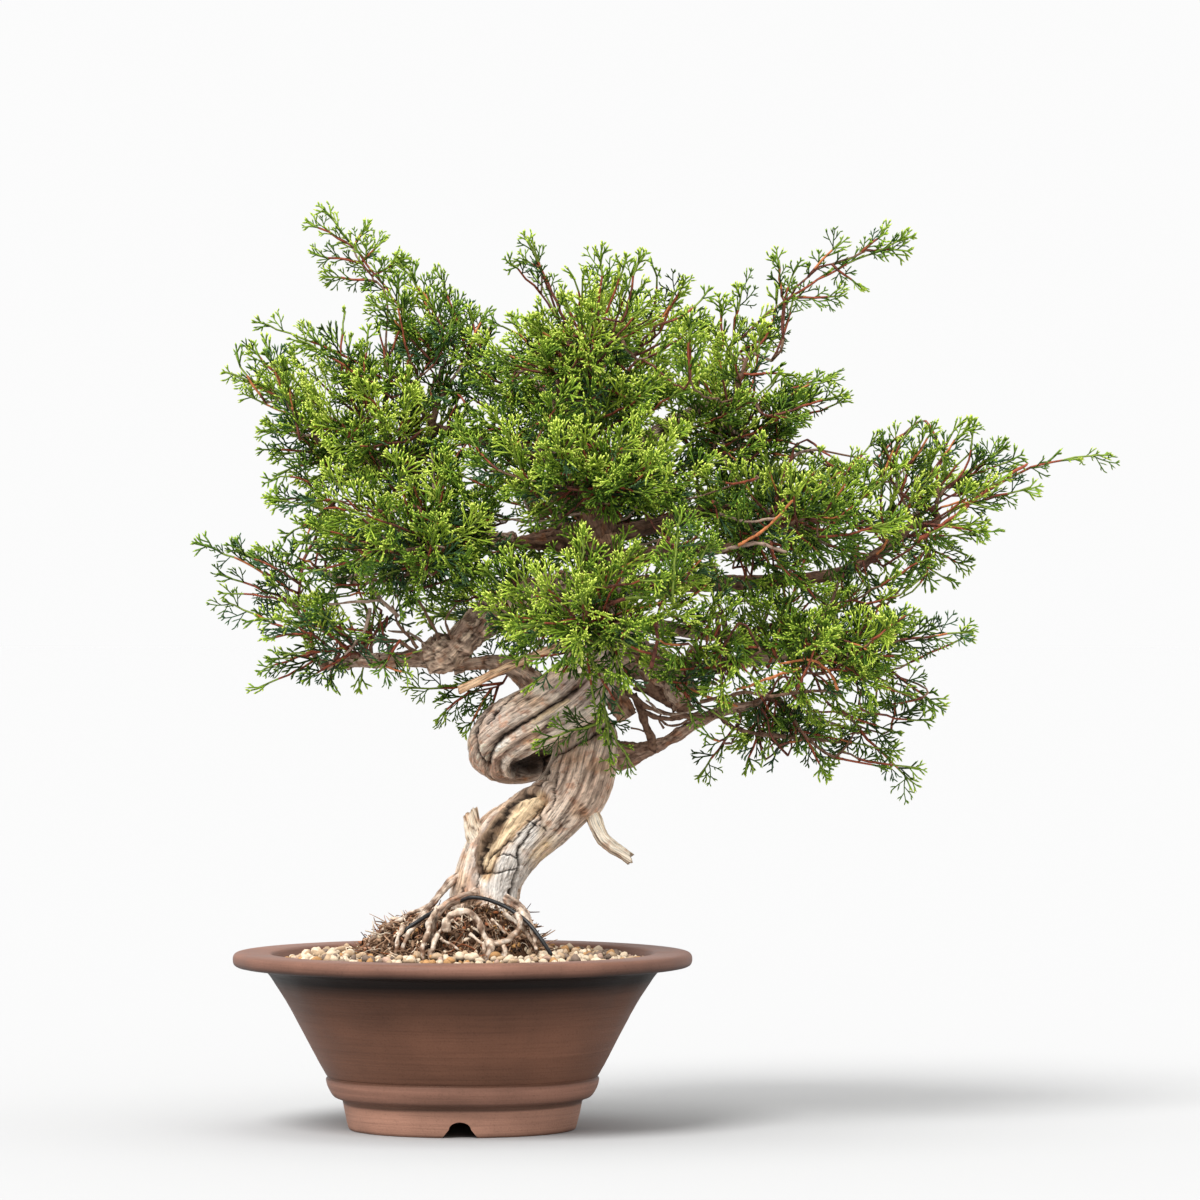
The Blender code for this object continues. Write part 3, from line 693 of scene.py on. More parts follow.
def root_tint(n, rng):
    """Pale tan to grey-brown, a little darker towards the soil."""
    a, b = lin((214, 192, 170)), lin((136, 106, 84))
    return mix(a[None], b[None], rng.uniform(0, 0.8) + np.linspace(-0.3, 0.5, n))


def build_mound(rng):
    turns, rows = 120, 44
    a = 2 * np.pi * np.arange(turns) / turns
    share = np.linspace(0.02, 1.04, rows)[:, None]
    x = -6 + 50.5 * share * np.cos(a)[None] + 6 * (1 - share)
    y = 46.5 * share * np.sin(a)[None]
    z = mound_level(x, y)
    z[-1] = 81.0
    v = np.stack([x, y, z], -1).reshape(-1, 3)
    mesh = Mesh()
    tris = ring_tris(rows, turns)
    cap = np.stack([np.full(turns, len(v)), np.arange(turns), (np.arange(turns) + 1) % turns], 1)
    under = np.stack([np.full(turns, len(v) + 1), (rows - 1) * turns + (np.arange(turns) + 1) % turns, (rows - 1) * turns + np.arange(turns)], 1)
    v = np.vstack([v, [[0.0, 0.0, float(mound_level(np.array(0.0), np.array(0.0)))], [-6, 0, 81.0]]])
    mesh.add(v, np.vstack([tris[:, ::-1], cap[:, ::-1] * 1, under]))
    ob = mesh.make("root_mound_body", [earth_material()])
    bm = bmesh.new()
    bm.from_mesh(ob.data)
    bmesh.ops.recalc_face_normals(bm, faces=bm.faces[:])
    bm.to_mesh(ob.data)
    bm.free()
    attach(ob, "root")
    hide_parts("root_mound")

    # fine fibrous roots, matted over the mound and springing off it
    fibres = Mesh()

    def fibre_colour():
        tone = rng.uniform(0, 1) ** 1.25
        c = mix(lin((66, 43, 30)), lin((186, 150, 120)), tone)
        if rng.uniform() < 0.16:
            c = lin((228, 208, 184)) * rng.uniform(0.8, 1.0)
        if rng.uniform() < 0.14:
            c = mix(c, lin((150, 84, 48)), 0.7)
        return c

    for k in range(980):
        t = rng.uniform(0, 2 * math.pi)
        rad = rng.uniform(0.28, 1.0) ** 0.75
        p = np.array([-6 + 48 * rad * math.cos(t) + 10 * (1 - rad), 44 * rad * math.sin(t)])
        head = t + rng.normal(0, 1.0)
        length = rng.uniform(4, 19)
        n = int(length / 3.0) + 3
        pts = []
        lift0, hump = rng.uniform(-0.3, 1.2), max(0.0, rng.normal(0.4, 1.5))
        curl = rng.normal(0, 0.16)
        for i in range(n):
            s = i / (n - 1)
            z = float(mound_level(np.array(p[0]), np.array(p[1])))
            pts.append((p[0], p[1], max(z, 81.8) + lift0 + hump * math.sin(math.pi * s) - 0.8 * (s < 0.05) - 0.8 * (s > 0.95) + rng.normal(0, 0.25)))
            head += curl + rng.normal(0, 0.34)
            p = p + length / n * np.array([math.cos(head), math.sin(head)])
            if np.hypot((p[0] + 6) / 54.0, p[1] / 50.0) > 1:
                head += math.pi * 0.6
        r = rng.choice([0.24, 0.34, 0.48, 0.80], p=[0.36, 0.34, 0.21, 0.09])
        vv, ff = tube(pts, np.linspace(r, r * 0.55, n), 3)
        fibres.add(vv, ff, 0, fibre_colour())
    # broken ends that stick out of the mat, and flakes of bark among them
    for k in range(430):
        t = rng.uniform(0, 2 * math.pi)
        rad = rng.uniform(0.25, 0.98) ** 0.8
        p = np.array([-6 + 47 * rad * math.cos(t) + 10 * (1 - rad), 43 * rad * math.sin(t)])
        z = max(float(mound_level(np.array(p[0]), np.array(p[1]))), 82.0)
        d = unit(np.array([math.cos(t), math.sin(t), rng.uniform(-0.1, 1.0)]) + 0.7 * rng.normal(size=3))
        d[2] = abs(d[2]) * 0.8
        length = rng.uniform(3.5, 9.5)
        q = np.array([p[0], p[1], z - 0.3])
        bend = rng.normal(0, 0.22, 3) * length
        pts = [q + d * length * s + bend * s * s for s in np.linspace(0, 1, 4)]
        r = rng.uniform(0.26, 0.52)
        vv, ff = tube(pts, [r, r * 0.95, r * 0.8, r * 0.5], 3)
        fibres.add(vv, ff, 0, fibre_colour())
    for k in range(150):
        t = rng.uniform(0, 2 * math.pi)
        rad = rng.uniform(0.25, 0.96) ** 0.8
        p = np.array([-6 + 47 * rad * math.cos(t) + 10 * (1 - rad), 43 * rad * math.sin(t)])
        z = max(float(mound_level(np.array(p[0]), np.array(p[1]))), 82.0)
        d = unit(np.array([math.cos(t), math.sin(t), -0.35]) + 0.7 * rng.normal(size=3))
        q = np.array([p[0], p[1], z + rng.uniform(0.2, 1.2)])
        length = rng.uniform(2.5, 6.5)
        vv, ff = tube([q, q + d * length * 0.5, q + d * length], [0.7, rng.uniform(0.8, 1.3), 0.5], 4)
        fibres.add(vv, ff, 0, fibre_colour())
    # crumbs of bark and baked clay caught among them
    bm = bmesh.new()
    bmesh.ops.create_icosphere(bm, subdivisions=1, radius=1.0)
    ball = np.array([p.co[:] for p in bm.verts])
    faces = np.array([[q.index for q in f.verts] for f in bm.faces])
    bm.free()
    crumb = [(44, 29, 20), (84, 58, 40), (188, 142, 88), (232, 210, 178), (142, 84, 50), (124, 100, 80)]
    for k in range(1500):
        t = rng.uniform(0, 2 * math.pi)
        rad = rng.uniform(0.12, 0.97) ** 0.7
        x, y = -6 + 47 * rad * math.cos(t) + 12 * (1 - rad), 43 * rad * math.sin(t)
        z = max(float(mound_level(np.array(x), np.array(y))), 82.0)
        size = np.clip(rng.gamma(5.0, 0.19), 0.5, 1.9)
        shape = ball * rng.uniform(0.55, 1.2, 3) * size * (1 + 0.16 * rng.normal(size=(len(ball), 1)))
        fibres.add(shape + (x, y, z + rng.uniform(-0.3, 0.7)), faces, 0,
                   lin(crumb[rng.choice(6, p=[0.34, 0.24, 0.13, 0.11, 0.08, 0.10])]) * rng.uniform(0.75, 1.1))
    drawn = [([unproject(*q) for q in pts], r0, r1) for pts, r0, r1 in FRONT_ROOTS]
    for pts, r0, r1 in [(pts, r0 * 0.74, r1 * 0.74) for pts, r0, r1 in ARCHED_ROOTS] + drawn:
        c = catmull([(*p, r0 + (r1 - r0) * i / (len(pts) - 1)) for i, p in enumerate(pts)], 0.9)
        j = c[:, :3] + 0.85 * np.stack([vnoise(c[:, :3] / 3.6 + 40 * q, q) for q in range(3)], -1)
        vv, ff = tube(j, c[:, 3] * (1 + 0.34 * vnoise(c[:, :3] / 2.4, 8)), 9)
        tint = np.vstack([np.repeat(root_tint(len(c), rng), 9, 0), root_tint(2, rng)])
        spot = fbm(vv / 2.2, 3, 15)
        tint = mix(tint, lin((92, 64, 48)), 0.75 * smooth(0.02, 0.30, spot))
        tint = mix(tint, lin((240, 228, 212)), 0.6 * smooth(0.05, 0.32, -spot))
        tint *= (1 + 0.3 * vnoise(vv / 0.9, 5))[:, None]
        fibres.add(vv, ff, 0, tint)
    mat = tinted_material("root_skin", 0.9, 700.0, 0.42, 0.6)
    ob = fibres.make("fibrous_roots", [mat])
    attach(ob, "root")

    c = catmull([(*p, 0.98) for p in STRAP], 1.5)
    vv, ff = tube(c[:, :3] + 0.25 * np.stack([vnoise(c[:, :3] / 6.0 + 9 * q, q + 3) for q in range(3)], -1), c[:, 3], 12)
    band = Mesh()
    band.add(vv, ff)
    ob = band.make("tie_band", [strap_material()])
    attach(ob, "root")
    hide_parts("tie_strap")
    return fibres.tris()


# ------------------------------------------------------------- trunk and boughs
TRUNK = [
    (12.0, 0, 98.0, 20.5), (12.0, 0, 104.0, 17.4), (12.2, 0, 111.5, 14.7), (15.9, 0, 124, 14.3),
    (24.6, 0, 137.6, 15.6), (40.2, 0, 150.4, 15.2), (52.2, 0, 163.4, 15.4),
    (58, 3, 177, 14.8), (61, 14, 186, 14.0), (55, 29, 187, 13.6),
    (41, 36, 182, 13.5), (25, 27, 178, 13.2), (16.5, 8, 181, 13.5),
    (19, -11, 189, 14.4), (30, -21, 196, 14.8), (45, -23, 204, 15.4),
    (58, -17, 214, 15.4), (66, -6, 228, 14.8), (69.5, 4, 244, 13.0),
    (69, 9, 264, 11.1), (65, 9, 285, 9.4), (60, 5, 307, 7.6),
    (52, 0, 331, 5.8), (48, 0, 353, 4.2), (52, 0, 377, 2.6),
]
LEADER_FROM = 19          # the row where the thick trunk gives way to the leader

LIMBS = {
    "stub_left": ([(13, -4, 133), (6.5, -6, 142), (4, -7, 151.5)], 5.2, 3.6),
    "jin_right": ([(52, -3, 164), (61, -5, 154), (64.5, -6, 145), (69, -7, 138), (80, -9, 130.5)], 3.8, 2.9),
    "jin_left": ([(60, -12, 237), (31, -24, 226), (-1, -31, 211)], 2.3, 2.0),
    "bough_left": ([(68, -1, 252), (52, -8, 258), (34, -12, 257), (18, -14, 251), (4, -15, 238),
                    (-8, -15, 229), (-17, -14, 226)], 8.6, 8.8),
    "bough_left_end": ([(-10, -15, 228), (-25, -13, 226), (-41, -10, 225), (-56, -8, 224), (-68, -6, 222)], 5.2, 2.2),
    "bough_left_link": ([(38, -18, 210), (24, -17, 222), (10, -16, 224), (-4, -16, 222)], 6.0, 3.4),
    "bough_upper_left": ([(66, 9, 284), (50, 7, 284), (32, 4, 282), (12, 2, 282)], 6.6, 3.2),
    "bough_knot": ([(66, -4, 230), (84, -9, 226), (98, -12, 219), (108, -14, 205)], 9.0, 8.0),
    "bough_right_low": ([(62, 12, 182), (76, 9, 179), (92, 4, 183), (106, -1, 191), (122, -5, 200), (140, -8, 204)], 7.6, 2.2),
    "stub_cut": ([(60, -16, 218), (71, -17, 212), (80, -17, 198)], 5.6, 4.8),
    "bough_right": ([(69, 6, 273), (90, -4, 276), (112, -12, 278), (132, -17, 280), (146, -18, 290)], 4.4, 2.2),
    "bough_right_under": ([(98, -12, 219), (116, -14, 222), (136, -18, 225), (156, -24, 228)], 4.2, 2.2),
    "bough_right_back": ([(69, 6, 246), (90, 20, 242), (112, 34, 238), (136, 42, 236)], 4.6, 2.4),
    "bough_far_right": ([(69, 9, 262), (104, 16, 262), (144, 12, 263), (180, 6, 267), (202, 3, 278), (216, 1, 290)], 4.8, 2.2),
    "bough_front": ([(69, 0, 248), (68, -26, 248), (66, -50, 249), (65, -70, 250)], 5.4, 3.0),
    "bough_back": ([(66, 12, 280), (67, 36, 287), (69, 58, 297), (70, 74, 302)], 5.6, 3.0),
    "bough_back_low": ([(69, 8, 258), (62, 34, 254), (52, 58, 252), (44, 76, 251)], 5.8, 3.0),
    "bough_left_top": ([(57, 3, 318), (36, -1, 324), (12, -5, 330), (-12, -8, 336)], 4.8, 2.6),
    "bough_right_top": ([(58, 4, 312), (80, 5, 326), (102, 6, 340), (120, 6, 350)], 4.8, 2.6),
    "bough_centre_front": ([(61, 5, 304), (60, -18, 309), (60, -36, 314), (60, -54, 317)], 4.2, 2.6),
    "bough_left_front": ([(22, 3, 282), (6, -14, 285), (-10, -32, 288)], 3.6, 2.4),
    "bough_left_back": ([(24, 4, 282), (8, 18, 284), (-10, 34, 286)], 3.8, 2.4),
    "bough_right_upper": ([(66, 9, 284), (90, 26, 290), (114, 40, 296), (132, 48, 299)], 4.6, 2.6),
}
# how each limb swells or thins against its even taper: share of its length, factor
SWELL = {
    "bough_right_low": [(0, 1.12), (0.18, 0.92), (0.36, 0.62), (0.6, 0.62), (1, 1.0)],
    "bough_upper_left": [(0, 1.0), (0.25, 1.25), (0.5, 1.0), (0.7, 0.8), (1, 1.0)],
    "bough_left": [(0, 0.9), (0.3, 0.86), (0.55, 0.8), (0.8, 0.9), (1, 0.95)],
    "bough_left_link": [(0, 1.1), (0.35, 0.95), (0.6, 0.7), (1, 1.0)],
    "bough_left_end": [(0, 1.15), (0.2, 0.85), (0.5, 0.9), (1, 1.0)],
}
DEADWOOD = ("stub_left", "jin_right", "jin_left")

# furrows of the trunk as the front shows them: way in view pixels, depth and half width in mm
FURROWS = [
    ([(542, 800), (535, 808), (523, 817), (508, 832), (496, 848), (489, 863), (486, 874)], 3.4, 3.3, "cleft"),
    ([(536, 797), (524, 806), (511, 818), (499, 831), (489, 845), (483, 859), (481, 873)], 2.2, 0.6, "crack"),
    ([(558, 772), (555, 789), (553, 806), (547, 814)], 1.9, 0.55, "crack"),
    ([(543, 806), (539, 819), (536, 824), (531, 830), (519, 850), (518, 855), (520, 867), (511, 890), (508, 906)], 2.6, 0.75, "crack"),
    ([(539, 808), (533, 817), (521, 832), (512, 840), (499, 850), (493, 855), (484, 869)], 1.6, 0.55, "crack"),
    ([(480, 872), (495, 873), (509, 870), (518, 868)], 1.2, 0.45, "crack"),
    ([(497, 856), (509, 854), (517, 859)], 1.1, 0.42, "crack"),
    ([(527, 820), (537, 826)], 1.1, 0.42, "crack"),
    ([(541, 826), (548, 832)], 0.9, 0.4, "crack"),
    ([(478, 874), (476, 886), (479, 898)], 1.2, 0.5, "crack"),
    ([(467, 888), (468, 902)], 1.0, 0.5, "crack"),
    ([(586, 770), (580, 788), (571, 806), (560, 824)], 0.9, 1.2, "fold"),
    ([(600, 762), (597, 782), (588, 800), (578, 814)], 0.9, 1.0, "fold"),
    ([(570, 758), (566, 774), (560, 794)], 0.8, 1.0, "fold"),
    ([(579, 686), (557, 703), (540, 713), (527, 722), (503, 737), (492, 748), (488, 758), (487, 770)], 4.4, 1.7, "deep"),
    ([(505, 691), (492, 703), (481, 718), (474, 735), (477, 754), (484, 768)], 1.6, 0.8, "deep"),
    ([(528, 684), (512, 697), (498, 710), (487, 724)], 1.0, 0.6, "crack"),
    ([(552, 668), (535, 682), (520, 698), (508, 712)], 1.0, 0.7, "fold"),
    ([(560, 722), (540, 732), (522, 742), (508, 752), (500, 764), (502, 776)], 1.5, 0.9, "fold"),
    ([(596, 690), (580, 706), (565, 716), (548, 728)], 1.2, 0.8, "fold"),
    ([(542, 757), (531, 763), (519, 769)], 3.4, 4.2, "cavity"),
    ([(606, 727), (590, 737), (572, 746), (556, 753), (548, 762), (545, 776), (542, 788)], 2.4, 1.1, "deep"),
    ([(600, 640), (590, 664), (578, 690)], 1.3, 0.9, "fold"),
    ([(570, 640), (560, 660), (545, 676)], 1.2, 0.9, "fold"),
]
# strands that stand proud of it: way in view pixels, height, half width, tint
STRANDS = [
    ([(465, 910), (464, 888), (466, 868), (472, 851), (482, 836), (495, 825), (511, 814), (528, 802), (546, 791)], 3.8, 5.0, None),
    ([(600, 752), (605, 772), (603, 790), (598, 806)], 2.6, 8.5, None),
    ([(541, 790), (527, 801), (511, 816), (497, 831), (487, 843), (481, 857), (480, 872)], 2.2, 1.5, "rim"),
    ([(538, 804), (527, 813), (514, 825), (502, 839), (493, 852), (487, 866)], 3.0, 2.7, "stick"),
    ([(530, 804), (517, 812), (503, 825), (491, 839), (484, 852), (481, 864)], 2.2, 1.1, "stick"),
    ([(568, 700), (556, 707), (544, 715), (534, 722)], 1.6, 1.3, "stick"),
]


def polyline_distance(px, py, line):
    """Distance in pixels from every point to a polyline."""
    best = np.full(px.shape, 1e9)
    for (x0, y0), (x1, y1) in zip(line, line[1:]):
        dx, dy = x1 - x0, y1 - y0
        t = np.clip(((px - x0) * dx + (py - y0) * dy) / (dx * dx + dy * dy), 0, 1)
        best = np.minimum(best, np.hypot(px - x0 - t * dx, py - y0 - t * dy))
    return best


BARK = {
    "mid": lin((158, 132, 112)), "light": lin((214, 196, 178)), "dark": lin((70, 50, 38)),
    "grey": lin((208, 202, 196)), "ochre": lin((206, 164, 112)), "amber": lin((158, 110, 66)),
    "plum": lin((128, 98, 92)), "black": lin((26, 17, 13)), "rust": lin((150, 96, 68)),
}


def sweep(ctrl, step, sides, relief, cap_end=True):
    """A limb with its relief: vertices, triangles and a tint for each vertex."""
    c = catmull(ctrl, step)
    p, r = c[:, :3], c[:, 3]
    t, n, b = transport(p)
    phi = 2 * np.pi * np.arange(sides) / sides
    d = np.cos(phi)[None, :, None] * n[:, None] + np.sin(phi)[None, :, None] * b[:, None]
    s = np.concatenate([[0], np.cumsum(np.linalg.norm(np.diff(p, axis=0), axis=1))])
    base = p[:, None] + r[:, None, None] * d
    out, col, along = relief(base, d, s, phi, r)
    v = base + d * out[..., None]
    if along is not None:
        v = v + t[:, None] * along[..., None]
    k = np.arange(sides)
    rings = len(p)
    first, last = v[0].mean(0), v[-1].mean(0) + (t[-1] * 0.0)
    verts = np.vstack([v.reshape(-1, 3), first, last])
    tris = [ring_tris(rings, sides),
            np.stack([np.full(sides, rings * sides), (k + 1) % sides, k], 1),
            np.stack([np.full(sides, rings * sides + 1), (rings - 1) * sides + k, (rings - 1) * sides + (k + 1) % sides], 1)]
    cols = np.vstack([col.reshape(-1, 3), col[0].mean(0), col[-1].mean(0)])
    grain = around(phi, s, r, 1.0, 13.0, 0.011)
    grain = np.vstack([grain.reshape(-1, 3), grain[0].mean(0), grain[-1].mean(0)])
    return verts, np.vstack(tris), cols, grain


def around(phi, s, r, across, along, twist):
    """Noise coordinates that run along a limb: narrow across it, long along it."""
    a = phi[None, :] + (s * twist)[:, None]
    k = (r / across)[:, None]
    return np.stack([np.cos(a) * k, np.sin(a) * k, np.broadcast_to((s / along)[:, None], a.shape)], -1)


def fissures(n, width):
    """Thin lines where a noise passes zero."""
    return np.exp(-(n / width) ** 2)


def trunk_relief(base, d, s, phi, r):
    px, py = pixel(base)
    front = smooth(-0.05, 0.35, -d[..., 1])
    side = smooth(-0.75, -0.25, -d[..., 1])
    twist = 0.011
    rr = r[:, None]
    coarse = fbm(around(phi, s, r, 8.0, 60.0, twist), 2, 3)
    mid = vnoise(around(phi, s, r, 3.0, 42.0, twist) + 3.1, 13)
    low = vnoise(around(phi, s, r, 1.6, 26.0, twist) + 7.7, 17)
    fine = fbm(around(phi, s, r, 0.9, 11.0, twist), 2, 23)
    flake = fbm(around(phi, s, r, 2.2, 9.0, twist) + 1.3, 3, 33)
    scale_ = fbm(around(phi, s, r, 1.3, 3.4, twist) + 11, 2, 37)
    plates = smooth(-0.04, 0.05, fbm(around(phi, s, r, 4.2, 30.0, twist) + 5.0, 3, 43))
    lines = np.maximum(fissures(mid, 0.06), 0.75 * fissures(low, 0.075))
    out = 1.15 * coarse + 0.50 * mid + 0.26 * low + 0.20 * fine + 0.26 * flake + 0.12 * scale_ + 0.36 * plates - 0.50 * lines
    # rope-like cords on the sides that the front's furrows don't reach
    a = phi[None, :] + (s * twist)[:, None]
    cords = np.cos(3 * a + 0.8 * np.sin(s / 31.0)[:, None] + 1.1)
    groove = np.exp(-((1 - cords) / 0.30) ** 2)
    back = 1 - smooth(-0.35, 0.15, -d[..., 1])
    out = out - back * 2.8 * groove * smooth(106, 122, base[..., 2])
    shade = back * groove
    dead = np.zeros_like(out)
    crack = np.zeros_like(out)
    rim = np.zeros_like(out)
    stick = np.zeros_like(out)
    cavity_shade = np.zeros_like(out)
    wander = 1.3 * vnoise(base / 2.2, 51)
    for line, high, width, kind in STRANDS:
        dist = polyline_distance(px + 0.3 * wander, py + 0.3 * wander, line) / 2.08
        body = np.sqrt(np.clip(1 - (dist / width) ** 2, 0, 1))
        out = out + high * body * (side if kind is None else front)
        if kind == "rim":
            rim = np.maximum(rim, smooth(0.1, 0.6, body) * front)
        elif kind == "stick":
            stick = np.maximum(stick, smooth(0.1, 0.7, body) * front)
    for line, depth, width, kind in FURROWS:
        dist = polyline_distance(px + wander, py + 0.8 * wander, line) / 2.08
        g = np.exp(-(dist / width) ** 2) * front
        if kind == "cleft":
            out = out - depth * np.exp(-(dist / width) ** 4) * front
            dead = np.maximum(dead, np.exp(-(dist / (width * 1.12)) ** 4) * front)
        elif kind == "crack":
            out = out - depth * g
            crack = np.maximum(crack, g)
        elif kind == "cavity":
            # the cavity is carved in, and its mask carries the painted shade below
            g = np.exp(-(dist / width) ** 4) * front
            out = out - depth * g
            cavity_shade = np.maximum(cavity_shade, g)
        elif kind == "deep":
            wide = np.exp(-(dist / (width * 2.0)) ** 2) * front
            out = out - depth * (0.6 * g + 0.4 * wide)
            crack = np.maximum(crack, 0.9 * np.exp(-(dist / (width * 0.55)) ** 2) * front)
            shade = np.maximum(shade, 0.9 * g)
        else:
            wide = np.exp(-(dist / (width * 2.2)) ** 2) * front
            out = out - depth * (0.7 * g + 0.4 * wide)
            shade = np.maximum(shade, 0.7 * g)
    # root flare
    foot = np.clip((116 - base[..., 2]) / 16.0, 0, 1)
    lobes = 0.5 + 0.5 * np.cos(4 * phi[None, :] + 0.7) + 0.35 * vnoise(base / 6.0, 61)
    out = out + foot ** 2 * (1.4 * lobes - 0.6)
    # colour
    warm = fbm(base / 11.0, 2, 77)
    c = mix(lin((188, 158, 138))[None, None], lin((252, 234, 214))[None, None], 0.46 + 0.5 * mid + 0.45 * flake + 0.35 * plates)
    c = mix(c, lin((216, 170, 126)), 0.5 * smooth(0.05, 0.5, warm))
    weathered = smooth(0.0, 0.6, fbm(base / 13.0, 2, 79) + 0.3 * smooth(186, 205, base[..., 2]) * smooth(60, 40, base[..., 0]))
    c = mix(c, lin((204, 190, 176)), 0.5 * weathered * smooth(176, 190, base[..., 2]))
    plum = smooth(0.1, 0.5, fbm(base / 14.0, 2, 81) + 0.45 * smooth(200, 232, base[..., 2])) * smooth(185, 215, base[..., 2])
    c = mix(c, lin((166, 134, 126)), 0.55 * plum)
    rusty = smooth(0.22, 0.42, fbm(base / 3.0, 3, 91))
    c = mix(c, lin((196, 124, 78)), 0.45 * rusty)
    c = mix(c, BARK["dark"], 0.24 * smooth(0.12, 0.45, -scale_) + 0.70 * lines)
    yellow = np.exp(-(((px - 536) / 17.0) ** 2 + ((py - 846) / 24.0) ** 2) ** 1.5) * front
    c = mix(c, lin((214, 182, 128)), 0.75 * yellow * smooth(-0.5, 0.2, flake))
    pale_at = np.exp(-(((px - 505) / 27.0) ** 2 + ((py - 874) / 38.0) ** 2) ** 1.6) * front
    pale_at = np.maximum(pale_at, np.exp(-(((px - 526) / 14.0) ** 2 + ((py - 832) / 22.0) ** 2) ** 1.5) * front)
    pale = np.clip(pale_at * 1.3 + 0.3 * flake - 0.5 * (scale_ < -0.32), 0, 1) * (pale_at > 0.03)
    c = mix(c, lin((226, 220, 212)), 0.9 * pale)
    strip = np.exp(-(((px - 549) / 8.0) ** 2 + ((py - 782) / 26.0) ** 2) ** 1.5) * front
    c = mix(c, lin((206, 186, 168)), 0.6 * strip)
    lines_dead = fissures(vnoise(around(phi, s, r, 1.5, 26.0, twist), 87), 0.15)
    hollow = np.clip(dead * 1.2, 0, 1)
    wood = mix(lin((230, 204, 166))[None, None], lin((172, 132, 98))[None, None], 0.5 + 0.9 * fine)
    wood = mix(wood, BARK["dark"], 0.85 * lines_dead)
    c = mix(c, wood, hollow)
    c = mix(c, lin((242, 214, 174)), 0.85 * stick * (1 - 0.6 * lines_dead))
    c = mix(c, mix(lin((104, 80, 64))[None, None], lin((160, 132, 108))[None, None], 0.5 + 1.4 * fine), 0.85 * rim)
    c = mix(c, c * lin((236, 222, 214)), 0.8 * np.exp(-(((px - 585) / 34.0) ** 2 + ((py - 782) / 48.0) ** 2) ** 1.5) * front)
    c = mix(c, np.minimum(c * 1.34, 0.92), 0.9 * np.exp(-(((px - 487) / 20.0) ** 2 + ((py - 752) / 34.0) ** 2) ** 1.5) * front)
    c = mix(c, BARK["dark"], 0.84 * shade)
    # painted shade: the cavity, and the nook where the loop's underside meets the trunk's bulge, are darkened almost to
    # black
    nook_shade = np.exp(-(((px - 530) / 17.0) ** 2 + ((py - 767) / 9.5) ** 2) ** 2) * smooth(-0.9, -0.5, -d[..., 1]) * (base[..., 2] < 181)
    c = mix(c, lin((34, 24, 17)), np.maximum(0.94 * cavity_shade, 0.96 * nook_shade))
    c = mix(c, BARK["black"], 0.95 * smooth(0.3, 0.9, crack))
    c = mix(c, BARK["dark"], 0.6 * np.clip((106 - base[..., 2]) / 6.0, 0, 1))
    # painted shade: the bark darkens as the trunk rises into the crown's shade
    c = mix(c, c * lin((196, 166, 150)), smooth(252, 274, base[..., 2]))
    return out, c, None


def bough_relief(seed, lump=0.0, tone=None, knots=(), gnarl=0.0):
    """Flaking, stringy bark on a bough."""
    tone = tone or ((158, 130, 110), (218, 192, 170))

    def relief(base, d, s, phi, r):
        k = np.minimum(r / 6.0, 1.35)[:, None]
        mid = vnoise(around(phi, s, r, 2.2, 13.0, 0.02) + 2.0, seed)
        fine = fbm(around(phi, s, r, 0.9, 5.0, 0.02), 2, seed + 7)
        flake = fbm(base / 2.6, 3, seed + 11)
        lumps = fbm(base / 7.0, 3, seed + 19)
        plates = smooth(-0.05, 0.06, fbm(around(phi, s, r, 3.0, 9.0, 0.02) + 4.0, 3, seed + 23))
        lines = fissures(mid, 0.10)
        out = k * (0.45 * mid + 0.25 * fine + 0.40 * flake + 0.45 * plates - 0.55 * lines - 0.2) + lump * lumps + 0.6 * k * lumps
        # the collar where it leaves what carries it
        out = out + (0.30 * r[0] * np.exp(-s / (1.3 * r[0] + 1)))[:, None]
        for at, high, wide in knots:
            dist = np.linalg.norm(base - np.array(at, float), axis=-1)
            out = out + high * np.exp(-(dist / wide) ** 2)
        worm = fissures(fbm(base / 4.2 + 3.0, 2, seed + 41), 0.07) * gnarl
        out = out - 1.5 * worm + 1.2 * gnarl * fbm(base / 3.4, 2, seed + 43)
        c = mix(lin(tone[0])[None, None], lin(tone[1])[None, None], 0.35 + 0.5 * mid + 0.7 * flake + 0.3 * plates)
        c = mix(c, BARK["dark"], 0.85 * worm)
        c = mix(c, lin((112, 80, 64)), 0.45 * smooth(0.08, 0.4, fbm(base / 4.0, 3, seed + 31)))
        c = mix(c, lin((172, 112, 74)), 0.5 * smooth(0.18, 0.42, fbm(base / 2.6, 3, seed + 29)))
        c = mix(c, BARK["dark"], 0.75 * lines + 0.5 * smooth(0.15, 0.5, -flake))
        return out, c, None
    return relief


